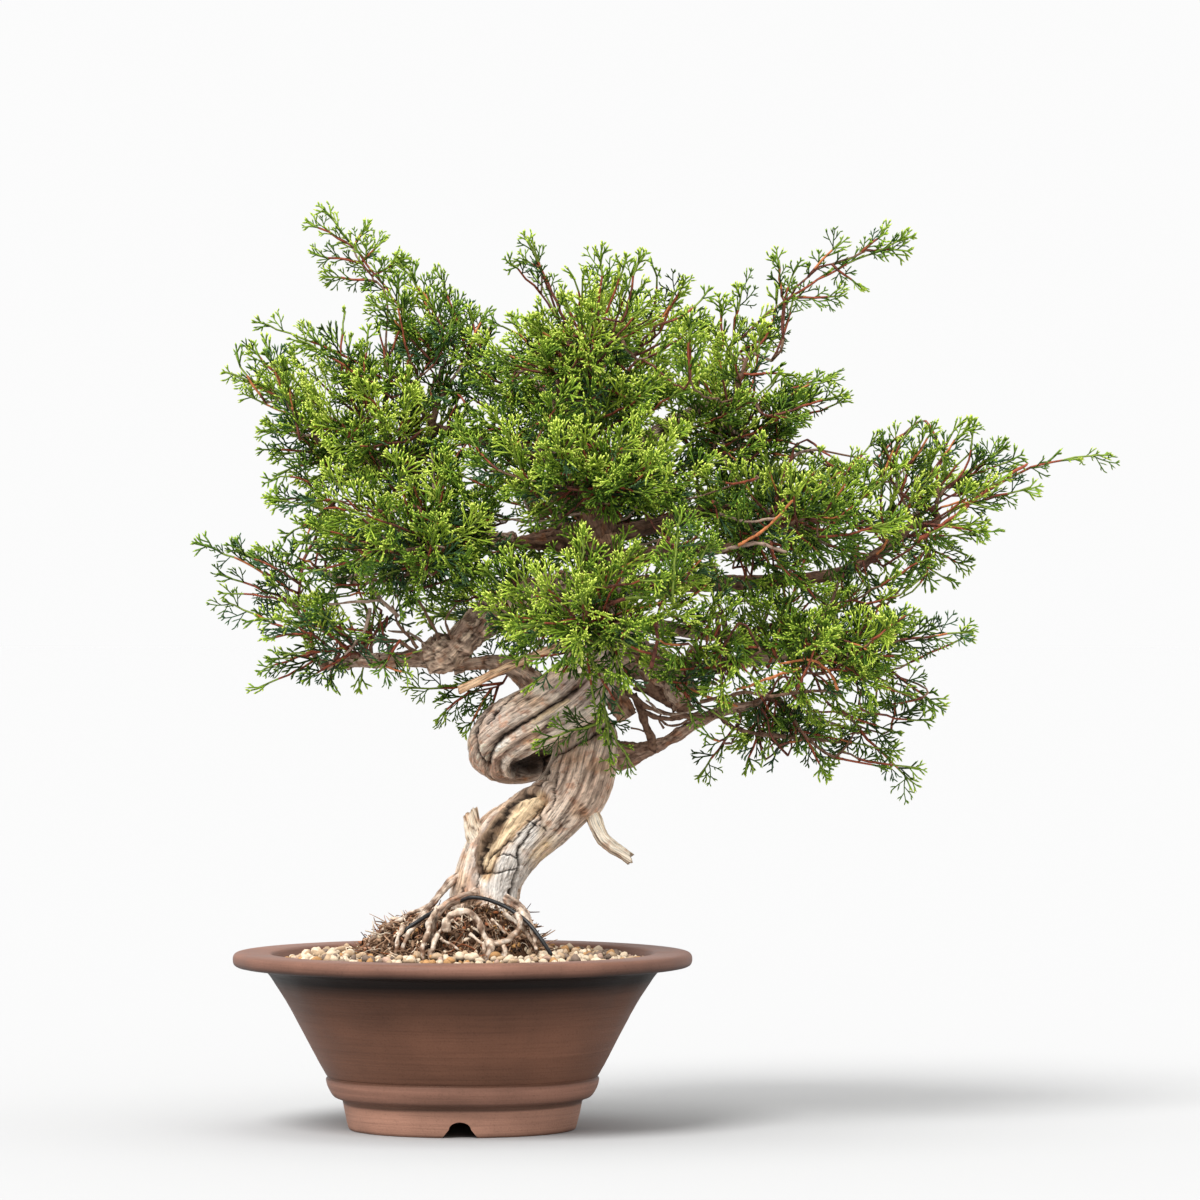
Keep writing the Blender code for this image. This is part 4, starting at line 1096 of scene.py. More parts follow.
def dead_relief(seed, ragged=1.4, tone=((248, 236, 216), (222, 194, 160))):
    """Weathered wood: straight grain, split and broken ends."""
    def relief(base, d, s, phi, r):
        mid = vnoise(around(phi, s, r, 1.5, 30.0, 0.01) + 1.0, seed)
        fine = fbm(around(phi, s, r, 0.5, 9.0, 0.01), 2, seed + 5)
        lines = fissures(mid, 0.07)
        knob = fbm(base / 4.5, 3, seed + 9)
        out = 0.10 * r[:, None] * mid - 0.16 * r[:, None] * lines + 0.12 * fine + 0.22 * r[:, None] * knob
        out = out + (0.30 * r[0] * np.exp(-s / (1.1 * r[0] + 1)))[:, None]
        c = mix(lin(tone[0])[None, None], lin(tone[1])[None, None], 0.4 + 0.9 * fine + 0.4 * mid)
        c = mix(c, lin((186, 130, 92)), 0.5 * smooth(0.1, 0.5, fbm(base / 5.0, 3, seed + 3)))
        c = mix(c, lin((104, 72, 52)), 0.9 * lines)
        end = smooth(s[-1] - 2.5, s[-1], s)[:, None]
        along = ragged * end * (vnoise(around(phi, s, r, 1.1, 400.0, 0), seed + 13) + 0.6 * np.cos(phi[None, :] + seed))
        c = mix(c, lin((150, 116, 84)), 0.6 * smooth(s[-1] - 0.8, s[-1], s)[:, None] * np.ones_like(mid))
        return out, c, along
    return relief


def limb_rows(pts, r0, r1, swell=None):
    pts = [np.array(p, float) for p in pts]
    run = np.concatenate([[0], np.cumsum([np.linalg.norm(b - a) for a, b in zip(pts, pts[1:])])])
    factor = np.interp(run / run[-1], *zip(*swell)) if swell else np.ones(len(run))
    return [(*p, (r0 + (r1 - r0) * t / run[-1]) * k) for p, t, k in zip(pts, run, factor)]


def build_wood():
    bark = tinted_material("bark", 0.86, 760.0, 0.20, 0.5, 0.0006, 1.15)
    wood = tinted_material("bare_wood", 0.78, 1100.0, 0.12, 0.25, 0.0003, 1.6)
    total = 0

    trunk = Mesh()
    trunk.add(*_tinted(sweep(TRUNK[:LEADER_FROM + 2], 0.70, 148, trunk_relief)))
    ob = trunk.make("trunk_bark", [bark])
    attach(ob, "root")
    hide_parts("trunk")
    total += trunk.tris()

    rest = Mesh()
    rest.add(*_tinted(sweep(TRUNK[LEADER_FROM:], 1.1, 42, bough_relief(301, 0.8, ((104, 78, 62), (156, 122, 102)), (), 0.6))))
    names = []
    knots = {"bough_left": [((-8, -22, 233), 2.4, 4.0), ((2, -20, 230), 2.0, 3.5), ((-12, -16, 236), 2.4, 3.5), ((-4, -22, 224), 1.8, 3.0),
                            ((10, -18, 240), 1.6, 3.5), ((-15, -20, 226), 1.8, 3.0)],
             "bough_knot": [((96, -20, 222), 2.4, 4.5), ((104, -20, 212), 2.0, 4.0), ((90, -16, 232), 2.0, 4.0)]}
    for i, (name, (pts, r0, r1)) in enumerate(LIMBS.items()):
        if name in DEADWOOD:
            continue
        big = max(r0, r1)
        sides = 60 if big > 8 else 40 if big > 5 else 26
        if name == "stub_cut":
            made = sweep(limb_rows(pts, r0, r1), 0.9, 40, bough_relief(400 + 13 * i, 1.6, ((120, 92, 74), (182, 150, 126)), (), 1.0))
        else:
            lump = 2.2 if name in ("bough_left", "bough_knot") else 0.8 if big > 5 else 0.4
            tone = ((178, 146, 127), (234, 206, 180)) if name in ("bough_left", "bough_right_low") else None
            if name == "bough_right_low":
                tone = ((142, 112, 94), (200, 168, 146))
            if name in ("bough_upper_left", "bough_right", "bough_far_right", "bough_right_upper", "bough_left_top"):
                tone = ((96, 70, 56), (146, 114, 94))
            made = sweep(limb_rows(pts, r0, r1, SWELL.get(name)), 0.9 if big > 5 else 1.3, sides,
                         bough_relief(400 + 13 * i, lump, tone, knots.get(name, ()),
                                      1.0 if name in ("bough_left", "bough_knot", "bough_upper_left") else 0.25))
        rest.add(*_tinted(made))
        names.append(name)
    ob = rest.make("boughs_bark", [bark])
    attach(ob, "root")
    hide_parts(*names)
    total += rest.tris()

    roots = Mesh()
    for i, (name, (pts, r0, r1)) in enumerate(SURFACE_ROOTS.items()):
        slim = 0.50 if name == "root_left" else 0.72 if name == "root_front" else 0.60
        roots.add(*_tinted(sweep(limb_rows(pts, r0 * slim, r1 * slim), 0.8, 24, bough_relief(700 + i, 0.9, ((168, 140, 120), (226, 206, 186))))))
    ob = roots.make("surface_roots", [bark])
    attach(ob, "root")
    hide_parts(*SURFACE_ROOTS)
    total += roots.tris()

    dead = Mesh()
    for i, name in enumerate(DEADWOOD):
        pts, r0, r1 = LIMBS[name]
        dead.add(*_tinted(sweep(limb_rows(pts, r0, r1), 0.7, 40, 
                                 dead_relief(800 + i, 0.6, ((240, 204, 166), (212, 164, 124))) if name == "jin_left" else dead_relief(800 + i, 2.2))))
    ob = dead.make("dead_wood", [wood])
    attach(ob, "root")
    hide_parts(*DEADWOOD)
    return total + dead.tris()


def _tinted(made):
    v, f, c, g = made
    return v, f, 0, c, g


# -------------------------------------------------------------------- foliage
# kinds of face in a spray: old cord, young cord, tip
def spray_template(rng, length, gap):
    """One flattened spray of whip cords, grown along +x and fanned out in y."""
    verts, tris, kinds = [], [], []
    count = [0]

    def put(v, f, k):
        verts.append(v)
        tris.append(np.asarray(f) + count[0])
        kinds.append(np.asarray(k))
        count[0] += len(v)

    def cord(p0, d, size, bend, old, tip=2):
        """A closed three-sided cord with a blunt, paler end."""
        d = unit(d)
        side = unit(np.cross(d, rng.normal(size=3)))
        up = np.cross(d, side)
        a = np.array([0, 2.094, 4.189]) + rng.uniform(0, 2)
        ring = np.cos(a)[:, None] * side + np.sin(a)[:, None] * up
        point = 1.0 - min(0.26, 1.4 / size)
        neck = p0 + d * size * point + bend * point ** 2
        end = p0 + d * size + bend
        if size > 5.5:
            mid = p0 + d * size * 0.5 + bend * 0.25
            v = np.vstack([p0 + ring * 0.38, mid + ring * 0.46, neck + ring * 0.52, end])
            f = [(0, 2, 1)]
            k = [old]
            for q in (0, 3):
                for i in range(3):
                    j = (i + 1) % 3
                    f += [(q + i, q + j, q + 3 + j), (q + i, q + 3 + j, q + 3 + i)]
                    k += [old, old] if q == 0 else [1, 1]
            f += [(6, 7, 9), (7, 8, 9), (8, 6, 9)]
            k += [tip] * 3
        else:
            v = np.vstack([p0 + ring * 0.40, neck + ring * 0.52, end])
            f = [(0, 2, 1)]
            k = [old]
            for i in range(3):
                j = (i + 1) % 3
                f += [(i, j, 3 + j), (i, 3 + j, 3 + i)]
                k += [1, 1]
            f += [(3, 4, 6), (4, 5, 6), (5, 3, 6)]
            k += [tip] * 3
        put(v, f, k)

    steps = max(3, int(length / 4.5))
    bow, lift = rng.normal(0, 0.07), rng.normal(0, 0.06)
    t = np.linspace(0, 1, steps + 1)
    stem = np.stack([length * t, length * bow * np.sin(2.4 * t), length * lift * t * t], -1)
    v, f = tube(stem, np.linspace(0.54, 0.44, steps + 1), 3)
    k = np.ones(len(f), int)
    k[: 6 * max(1, steps // 2)] = 0
    k[-3:] = 2
    put(v, f, k)

    x = length * rng.uniform(0.08, 0.16)
    side = rng.choice([-1, 1])
    while x < length * 0.95:
        u = x / length * steps
        i = min(int(u), steps - 1)
        p = stem[i] + (stem[i + 1] - stem[i]) * (u - i)
        d = unit(stem[i + 1] - stem[i])
        size = min(15.5, 2.6 + (length - x) * rng.uniform(0.50, 0.82))
        ang = math.radians(rng.uniform(30, 48)) * side
        flat = np.array([-d[1], d[0], 0.0])
        b = unit(d * math.cos(ang) + flat * math.sin(ang) + np.array([0, 0, rng.normal(0, 0.22)]))
        bend = (d * rng.uniform(0.10, 0.26) + np.array([0, 0, rng.normal(0.0, 0.08)])) * size
        cord(p, b, size, bend, 0 if rng.uniform() < 0.5 else 1)
        if size > 5.0:
            y = size * rng.uniform(0.34, 0.52)
            s2 = side if rng.uniform() < 0.6 else -side
            while y < size * 0.90:
                q = p + b * y + bend * (y / size) ** 2
                l2 = min(7.0, 1.7 + (size - y) * rng.uniform(0.45, 0.80))
                a2 = math.radians(rng.uniform(26, 42)) * s2
                flat2 = unit(np.cross([0, 0, 1.0], b))
                b2 = b * math.cos(a2) + flat2 * math.sin(a2) + np.array([0, 0, rng.normal(0, 0.28)])
                cord(q, b2, l2, (d * 0.14 + b * 0.06) * l2, 1)
                y += rng.uniform(2.4, 4.0)
                s2 = -s2
        x += gap * rng.uniform(0.75, 1.25)
        side = -side
    end, d = stem[-1], unit(stem[-1] - stem[-2])
    for turn in (-1, 1):
        a = math.radians(rng.uniform(22, 36)) * turn
        flat = np.array([-d[1], d[0], 0.0])
        cord(end - d * rng.uniform(0.2, 1.2), d * math.cos(a) + flat * math.sin(a) + np.array([0, 0, rng.normal(0, 0.15)]),
             rng.uniform(2.0, 3.4), d * 0.1, 1)
    return np.vstack(verts), np.vstack(tris), np.concatenate(kinds)


# pads of the crown: the limbs that feed them, the piece they go to, how full they are, and how bright, a shift of the
# painted light that picks their sprays' tones
PADS = {
    "foliage_left_top": (("bough_left_top",), "left_top", 1.0, 0.06),
    "foliage_top_front": (("leader",), "top", 1.0, 0.08),
    "foliage_top_back": (("leader",), "top_back", 0.70, 0.0),
    "foliage_right_top": (("bough_right_top",), "top_back", 0.85, 0.04),
    "foliage_left_front": (("bough_left_front", "bough_upper_left"), "left", 0.95, 0.0),
    "foliage_left_back": (("bough_left_back", "bough_upper_left"), "left", 0.62, -0.05),
    "foliage_left_low": (("bough_left_end", "bough_left"), "left_low", 0.36, -0.14),
    "foliage_front": (("bough_front",), "middle", 0.74, -0.02),
    "foliage_centre_front": (("bough_centre_front",), "middle", 1.0, 0.02),
    "foliage_centre_back": (("bough_back",), "back", 0.72, 0.0),
    "foliage_right": (("bough_right",), "right", 0.95, -0.05),
    "foliage_right_back": (("bough_right_upper",), "back", 0.68, 0.0),
    "foliage_far_right": (("bough_far_right",), "right", 0.42, 0.0),
    "foliage_right_low": (("bough_right_under",), "right_low", 0.58, 0.0),
    "foliage_right_low_back": (("bough_right_back",), "right_low", 0.44, 0.0),
    "foliage_right_bottom": (("bough_right_low",), "right_low", 0.46, 0.0),
    "foliage_centre_low": (("bough_knot", "bough_right_under"), "middle", 0.55, 0.0),
    "foliage_back_low": (("bough_back_low",), "back", 0.66, 0.0),
    "foliage_sprig": (("bough_left_link",), "left_low", 0.0, 0.0),
    "shoot_left_top": (("pad:foliage_left_top",), "left_top", 0.0, 0.1),
    "shoot_left": (("pad:foliage_left_top",), "left_top", 0.0, 0.1),
    "shoot_left_low": (("pad:foliage_left_low",), "left_low", 0.0, -0.16),
    "shoot_right_top": (("pad:foliage_right_top",), "top_back", 0.0, 0.1),
    "shoot_far_right": (("pad:foliage_far_right",), "right", 0.0, 0.1),
}

# long shoots at the crown's outline: pad, base and tip in view pixels, depth at both, length of their side sprays,
# gap between those, and the bow of their axis
LEADERS = [
    ("shoot_left_top", (436, 359), -10, (326, 213), -13, 12, 7.2, 0.02),
    ("shoot_left_top", (347, 243), -12, (308, 223), -12, 6.0, 6.0, 0.0),
    ("shoot_left_top", (361, 263), -12, (316, 255), -14, 6.0, 6.0, 0.0),
    ("shoot_left_top", (377, 282), -12, (329, 277), -12, 6.5, 5.5, 0.0),
    ("shoot_left_top", (353, 248), -12, (364, 229), -10, 5.5, 5.5, 0.0),
    ("shoot_left_top", (362, 262), -12, (381, 243), -12, 5.5, 5.5, 0.0),
    ("shoot_left_top", (372, 276), -12, (402, 259), -10, 7, 5.5, 0.0),
    ("shoot_left_top", (462, 362), -12, (398, 260), -10, 15, 5.5, 0.05),
    ("shoot_left_top", (432, 362), -16, (376, 304), -20, 16, 5.5, 0.04),
    ("shoot_left_top", (468, 352), -6, (438, 274), -4, 15, 5.5, 0.03),
    ("shoot_left_top", (482, 356), -14, (470, 314), -12, 13, 5.0, 0.0),
    ("shoot_left_top", (448, 350), 4, (405, 262), 6, 15, 6.0, 0.0),
    ("shoot_left", (408, 392), -18, (257, 322), -17, 13, 9.5, 0.07),
    ("shoot_left", (392, 398), -22, (300, 340), -26, 14, 6.5, 0.03),
    ("shoot_left", (372, 392), -8, (318, 352), -2, 14, 6.0, 0.0),
    ("shoot_left_low", (300, 594), -12, (204, 545), -12, 14, 6.0, 0.05),
    ("shoot_left_low", (296, 604), -8, (222, 574), -4, 13, 6.0, 0.02),
    ("shoot_left_low", (300, 584), -20, (236, 548), -22, 12, 6.0, 0.02),
    ("shoot_right_top", (728, 350), -4, (908, 239), -4, 10, 8.5, 0.12),
    ("shoot_right_top", (782, 297), -5, (779, 260), -6, 7, 6.5, 0.0),
    ("shoot_right_top", (808, 277), -5, (841, 241), -8, 6, 6.0, 0.06),
    ("shoot_right_top", (832, 264), -5, (858, 285), -2, 6, 6.0, 0.0),
    ("shoot_right_top", (862, 252), -5, (884, 232), -7, 6, 6.5, 0.0),
    ("shoot_right_top", (866, 250), -5, (898, 250), -2, 5, 7.0, 0.0),
    ("shoot_right_top", (790, 298), -4, (842, 296), -4, 9, 6.0, 0.0),
    ("shoot_right_top", (730, 352), -8, (742, 288), -10, 12, 5.5, 0.0),
    ("shoot_right_top", (740, 352), 2, (764, 338), 4, 9, 6.0, 0.0),
    ("shoot_right_top", (722, 350), -12, (720, 304), -14, 12, 6.0, 0.0),
    ("shoot_far_right", (968, 504), -2, (1110, 455), -4, 10, 8.5, 0.20),
    ("shoot_far_right", (962, 506), -6, (1030, 487), -10, 11, 6.5, 0.0),
    ("shoot_far_right", (958, 496), 4, (1010, 470), 8, 12, 6.0, 0.0),
    ("foliage_top_front", (566, 322), -40, (523, 234), -42, 7, 8.0, 0.02),
    ("foliage_top_front", (541, 268), -41, (523, 261), -42, 5, 6.0, 0.0),
    ("foliage_top_front", (598, 320), -44, (602, 254), -44, 13, 5.0, 0.0),
    ("foliage_top_front", (622, 322), -42, (640, 256), -44, 13, 5.5, -0.03),
    ("foliage_top_front", (660, 332), -38, (684, 280), -40, 13, 5.5, 0.0),
    ("foliage_top_front", (690, 380), -78, (690, 330), -82, 13, 5.5, 0.0),
    ("foliage_right_top", (770, 416), -18, (844, 394), -16, 13, 5.5, 0.0),
    ("foliage_right_top", (762, 400), 4, (832, 376), 8, 14, 5.5, 0.0),
    ("foliage_right_top", (742, 374), -10, (790, 374), -12, 11, 5.5, 0.0),
    ("foliage_far_right", (918, 492), -4, (968, 424), -6, 14, 5.5, 0.02),
    ("foliage_far_right", (900, 492), -8, (926, 430), -10, 14, 5.5, 0.0),
    ("foliage_far_right", (880, 480), -20, (898, 440), -22, 14, 5.5, 0.0),
    ("foliage_far_right", (926, 524), -14, (984, 532), -18, 14, 5.5, 0.0),
    ("foliage_far_right", (915, 542), 10, (968, 566), 12, 14, 6.0, 0.0),
    ("foliage_far_right", (946, 488), -2, (1004, 449), -4, 9, 6.0, 0.02),
    ("foliage_right_low", (900, 640), -32, (970, 632), -30, 14, 5.5, 0.0),
    ("foliage_right_low", (890, 670), -26, (938, 706), -24, 13, 6.0, 0.0),
    ("foliage_right_bottom", (860, 730), -14, (912, 782), -16, 13, 6.5, 0.0),
    ("foliage_right_bottom", (800, 730), -18, (826, 774), -22, 12, 6.5, 0.0),
    ("foliage_right_bottom", (740, 722), -12, (698, 777), -14, 12, 7.0, 0.02),
    ("foliage_right_bottom", (760, 730), -8, (746, 766), -8, 12, 7.0, 0.0),
    ("foliage_left_top", (304, 402), -6, (243, 380), -2, 13, 5.5, 0.0),
    ("foliage_left_top", (314, 430), 4, (264, 432), 8, 13, 5.5, 0.0),
    ("foliage_left_top", (300, 440), -40, (282, 366), -42, 15, 5.0, 0.0),
    ("foliage_left_top", (290, 390), -30, (250, 346), -32, 14, 5.0, 0.0),
    ("foliage_left_front", (330, 500), -46, (274, 498), -46, 14, 5.5, 0.0),
    ("foliage_left_low", (310, 640), -10, (226, 602), 2, 15, 6.0, 0.0),
    ("foliage_left_low", (320, 650), -26, (264, 669), -28, 12, 6.5, 0.0),
    ("foliage_left_low", (350, 654), -30, (306, 680), -34, 12, 6.5, 0.0),
    ("foliage_left_low", (400, 640), -44, (382, 668), -46, 11, 6.5, 0.0),
    ("foliage_front", (596, 724), -60, (538, 743), -62, 9.5, 5.0, 0.03),
    ("foliage_front", (604, 706), -60, (611, 762), -60, 7.5, 7.5, 0.0),
    ("foliage_front", (608, 722), -58, (636, 770), -60, 7.5, 8.0, -0.02),
    ("foliage_front", (560, 662), -70, (530, 686), -74, 10, 7.0, 0.0),
    ("foliage_front", (606, 676), -66, (600, 712), -66, 9, 6.0, 0.0),
    ("foliage_front", (672, 600), -104, (680, 516), -106, 14, 4.6, 0.02),
    ("foliage_sprig", (503, 683), -9, (409, 688), -8, 12, 6.0, -0.05),
    ("foliage_sprig", (492, 688), -8, (468, 731), -8, 12, 5.5, 0.04),
    ("foliage_sprig", (498, 686), -6, (487, 722), -4, 10, 6.0, 0.0),
    ("foliage_sprig", (470, 692), -7, (440, 716), -9, 10, 6.0, 0.0),
]

# the crown's outline from the front, in view pixels
OUTLINE = [
    (206, 541), (232, 548), (262, 553), (290, 545), (300, 520), (272, 512), (270, 492), (282, 470), (262, 440), (262, 415),
    (230, 376), (244, 366), (248, 348), (268, 342), (258, 322), (290, 316), (330, 322), (362, 340), (372, 322), (352, 290),
    (330, 268), (344, 256), (304, 232), (298, 212), (322, 203), (338, 222), (366, 224), (356, 236), (386, 242), (402, 256),
    (436, 264), (446, 282), (476, 302), (500, 318), (524, 318), (540, 300), (520, 268), (524, 234), (550, 262), (556, 290),
    (574, 274), (592, 258), (624, 250), (642, 254), (652, 272), (668, 294), (684, 282), (694, 294), (708, 290), (730, 308),
    (742, 292), (762, 298), (776, 284), (766, 262), (790, 260), (800, 272), (826, 248), (862, 232), (916, 228), (912, 238),
    (880, 246), (846, 264), (850, 280), (838, 296), (800, 306), (780, 320), (790, 330), (774, 346), (762, 368), (790, 378),
    (828, 368), (838, 380), (820, 392), (844, 398), (826, 410), (806, 420), (800, 440), (818, 446), (836, 462), (868, 452),
    (884, 432), (930, 430), (968, 424), (970, 440), (1008, 440), (1016, 458), (1070, 446), (1110, 454), (1094, 468),
    (1040, 470), (1030, 496), (1000, 494), (984, 512), (980, 544), (950, 550), (944, 570), (910, 576), (904, 600), (924, 630),
    (968, 628), (966, 642), (930, 650), (904, 668), (900, 690), (942, 706), (940, 718), (900, 716), (890, 730), (912, 760),
    (914, 782), (880, 768), (846, 752), (830, 758), (824, 772), (806, 756), (788, 748), (770, 764), (756, 744), (732, 750),
    (700, 778), (716, 744), (704, 718), (680, 716), (640, 700), (632, 700), (640, 760), (606, 770), (560, 770), (536, 744),
    (540, 720), (560, 700), (500, 660), (480, 690), (480, 722), (462, 722), (456, 700), (414, 708), (420, 690), (470, 680),
    (464, 664), (420, 668), (360, 672), (304, 690), (262, 678), (264, 660), (284, 648), (262, 630), (262, 610), (224, 606),
    (236, 590), (248, 586), (222, 574),
]


# shoots that hang in front of the boughs between the pads: tip in view pixels and its depth
DRAPES = [
    (728, 592, -46), (752, 600, -40), (776, 592, -48), (800, 584, -50), (824, 590, -46), (848, 588, -40), (870, 596, -34),
    (786, 612, -44), (830, 612, -40), (858, 622, -40), (704, 566, -66), (716, 540, -66), (696, 604, -92), (706, 632, -88),
    (470, 500, -60), (492, 480, -62), (452, 470, -58), (440, 446, -50), (470, 432, -46), (500, 446, -56), (512, 416, -52),
    (424, 520, -62), (450, 540, -58), (476, 548, -60), (430, 560, -58), (404, 560, -52), (460, 580, -60), (486, 572, -66),
    (560, 470, -70), (600, 484, -78), (628, 500, -76), (590, 500, -74), (548, 476, -66), (620, 470, -84), (704, 476, -74),
    (730, 500, -60), (736, 470, -58), (664, 500, -84), (690, 520, -80),
    (464, 374, -10), (480, 392, -16), (452, 392, -20), (492, 378, -6), (500, 402, -24), (474, 356, -4), (470, 410, -30),
    (884, 706, -20), (868, 732, -14), (842, 736, -16), (892, 690, -26), (900, 598, -14), (884, 606, -24), (930, 578, -10),
    (904, 640, -26), (848, 468, -24), (864, 478, -12), (936, 560, -8), (908, 584, -12), (858, 470, -16), (856, 474, -20), (870, 488, -26), (286, 536, -30), (306, 548, -34), (308, 586, -26), (328, 596, -34),
    (388, 592, -48), (500, 646, -64), (552, 556, -76), (496, 624, -60), (720, 566, -70),
    (850, 644, -34), (878, 660, -30), (858, 694, -30), (902, 704, -20), (838, 708, -24), (818, 722, -28), (780, 726, -24), (876, 716, -18),
    (900, 520, -16), (926, 500, -12), (908, 470, -10), (944, 470, -8),
]


def inside_outline(x, y):
    """Even-odd rule, for arrays of view pixels."""
    x, y = np.asarray(x, float), np.asarray(y, float)
    hit = np.zeros(x.shape, bool)
    for (x0, y0), (x1, y1) in zip(OUTLINE, OUTLINE[1:] + OUTLINE[:1]):
        if y0 != y1:
            cross = (y0 > y) != (y1 > y)
            hit ^= cross & (x < (x1 - x0) * (y - y0) / (y1 - y0) + x0)
    return hit


def widened(mask, steps):
    for _ in range(steps):
        m = mask.copy()
        m[1:] |= mask[:-1]
        m[:-1] |= mask[1:]
        m[:, 1:] |= mask[:, :-1]
        m[:, :-1] |= mask[:, 1:]
        mask = m
    return mask


_gx, _gy = np.meshgrid(np.arange(0, 1200, 3) + 1.5, np.arange(0, 1200, 3) + 1.5)
_INNER = inside_outline(_gx, _gy)
_OUTER = _INNER
_CORE = ~widened(~_INNER, 9)


def in_crown(p, mask=_OUTER):
    x, y = pixel(np.asarray(p, float))
    i, j = int(y // 3), int(x // 3)
    return 0 <= i < 400 and 0 <= j < 400 and bool(mask[i, j])


# openings where the backdrop shows through the crown: centre and half sizes in view pixels
GAPS = [
    (813, 674, 18, 14), (804, 602, 14, 8), (743, 570, 13, 10), (635, 522, 7, 10), (655, 524, 10, 10), (518, 523, 14, 9),
    (342, 503, 12, 7), (397, 523, 11, 6), (345, 600, 10, 13), (382, 613, 10, 8), (449, 626, 10, 8), (456, 648, 6, 6),
    (635, 698, 9, 7), (735, 690, 8, 7), (700, 600, 8, 7), (868, 592, 9, 6), (290, 640, 6, 5), 
    (560, 545, 7, 4), (770, 620, 7, 6), (676, 470, 5, 4), (860, 640, 7, 5), (700, 480, 6, 5), (640, 455, 4, 4),
    (420, 480, 6, 4), (776, 664, 9, 6), (842, 612, 6, 5), (720, 640, 6, 5), (410, 622, 7, 6), (500, 600, 5, 4),
    (699, 636, 8, 6), (865, 724, 7, 5), (772, 685, 8, 5), (721, 567, 8, 6), (669, 621, 5, 6), (850, 560, 6, 4), (890, 510, 5, 4),
    (935, 470, 6, 4), (905, 455, 5, 4), (925, 545, 8, 4), (945, 520, 6, 4), (880, 650, 6, 4), (905, 668, 6, 4), (268, 600, 7, 5),
    (320, 560, 6, 4), (306, 620, 7, 5), (330, 640, 7, 5), (360, 560, 5, 4), (280, 656, 6, 4), (250, 575, 6, 4), (345, 625, 6, 5),
    (846, 690, 7, 5), (300, 590, 7, 5), (884, 540, 6, 5), (906, 600, 7, 6), (668, 640, 4, 4), (462, 470, 4, 4),
]
_gap = np.array(GAPS, float)


def in_gap(p):
    x, y = pixel(np.asarray(p, float))
    return bool(np.any(((x - _gap[:, 0]) / _gap[:, 2]) ** 2 + ((y - _gap[:, 1]) / _gap[:, 3]) ** 2 < 1))


# where the front view's crown is airier: centre and half sizes in view pixels, share of the sprays left out
SPARSE = [
    (557, 640, 88, 58, 0.34), (790, 700, 130, 75, 0.04), (965, 520, 110, 105, 0.30), (320, 610, 110, 80, 0.30),
    (640, 262, 200, 60, 0.30), (235, 560, 60, 70, 0.30), (250, 400, 50, 90, 0.25), (820, 380, 60, 50, 0.22),
]


def sparse(p):
    x, y = pixel(np.asarray(p, float))
    return max([share for cx, cy, rx, ry, share in SPARSE if ((x - cx) / rx) ** 2 + ((y - cy) / ry) ** 2 < 1] + [0.0])


def on_bare_wood(p, leader=False):
    """The front view's bare trunk and the space beside it, which no leaf covers but a few drawn sprigs."""
    if p[1] > 30:
        return False
    x, y = pixel(np.asarray(p, float))
    if leader and 528 < x < 634 and y < 784 and p[1] < -50:
        return False
    if x < 500 and p[1] > -14 and y < 736:
        return False
    if 452 < x < 628 and y > (668 + max(0.0, x - 540) * 0.5) and y < 940:
        return True
    # the open wedge between the trunk and the low right bough, and the knot on the left
    return (628 <= x < 690 and y > 690) or (418 < x < 470 and 634 < y < 672 and p[1] < -14)


class Pad:
    def __init__(self, name):
        self.name = name
        me = frame["nodes"][name].data
        me.calc_loop_triangles()
        v = np.array([p.co[:] for p in me.vertices]) / MM - AXIS
        f = np.array([t.vertices[:] for t in me.loop_triangles])
        self.v, self.f = v, f
        a, b, c = v[f[:, 0]], v[f[:, 1]], v[f[:, 2]]
        n = np.cross(b - a, c - a)
        self.area = np.linalg.norm(n, axis=1) / 2
        self.normal = unit(n)
        self.centre = (v.max(0) + v.min(0)) / 2

    def sample(self, rng):
        k = rng.choice(len(self.f), p=self.area / self.area.sum())
        u, w = rng.uniform(size=2)
        if u + w > 1:
            u, w = 1 - u, 1 - w
        a, b, c = self.v[self.f[k]]
        return a + u * (b - a) + w * (c - a), self.normal[k]


CROWN_CENTRE = np.array([72.0, 4.0, 262.0])
CROWN_SIZE = np.array([200.0, 120.0, 135.0])


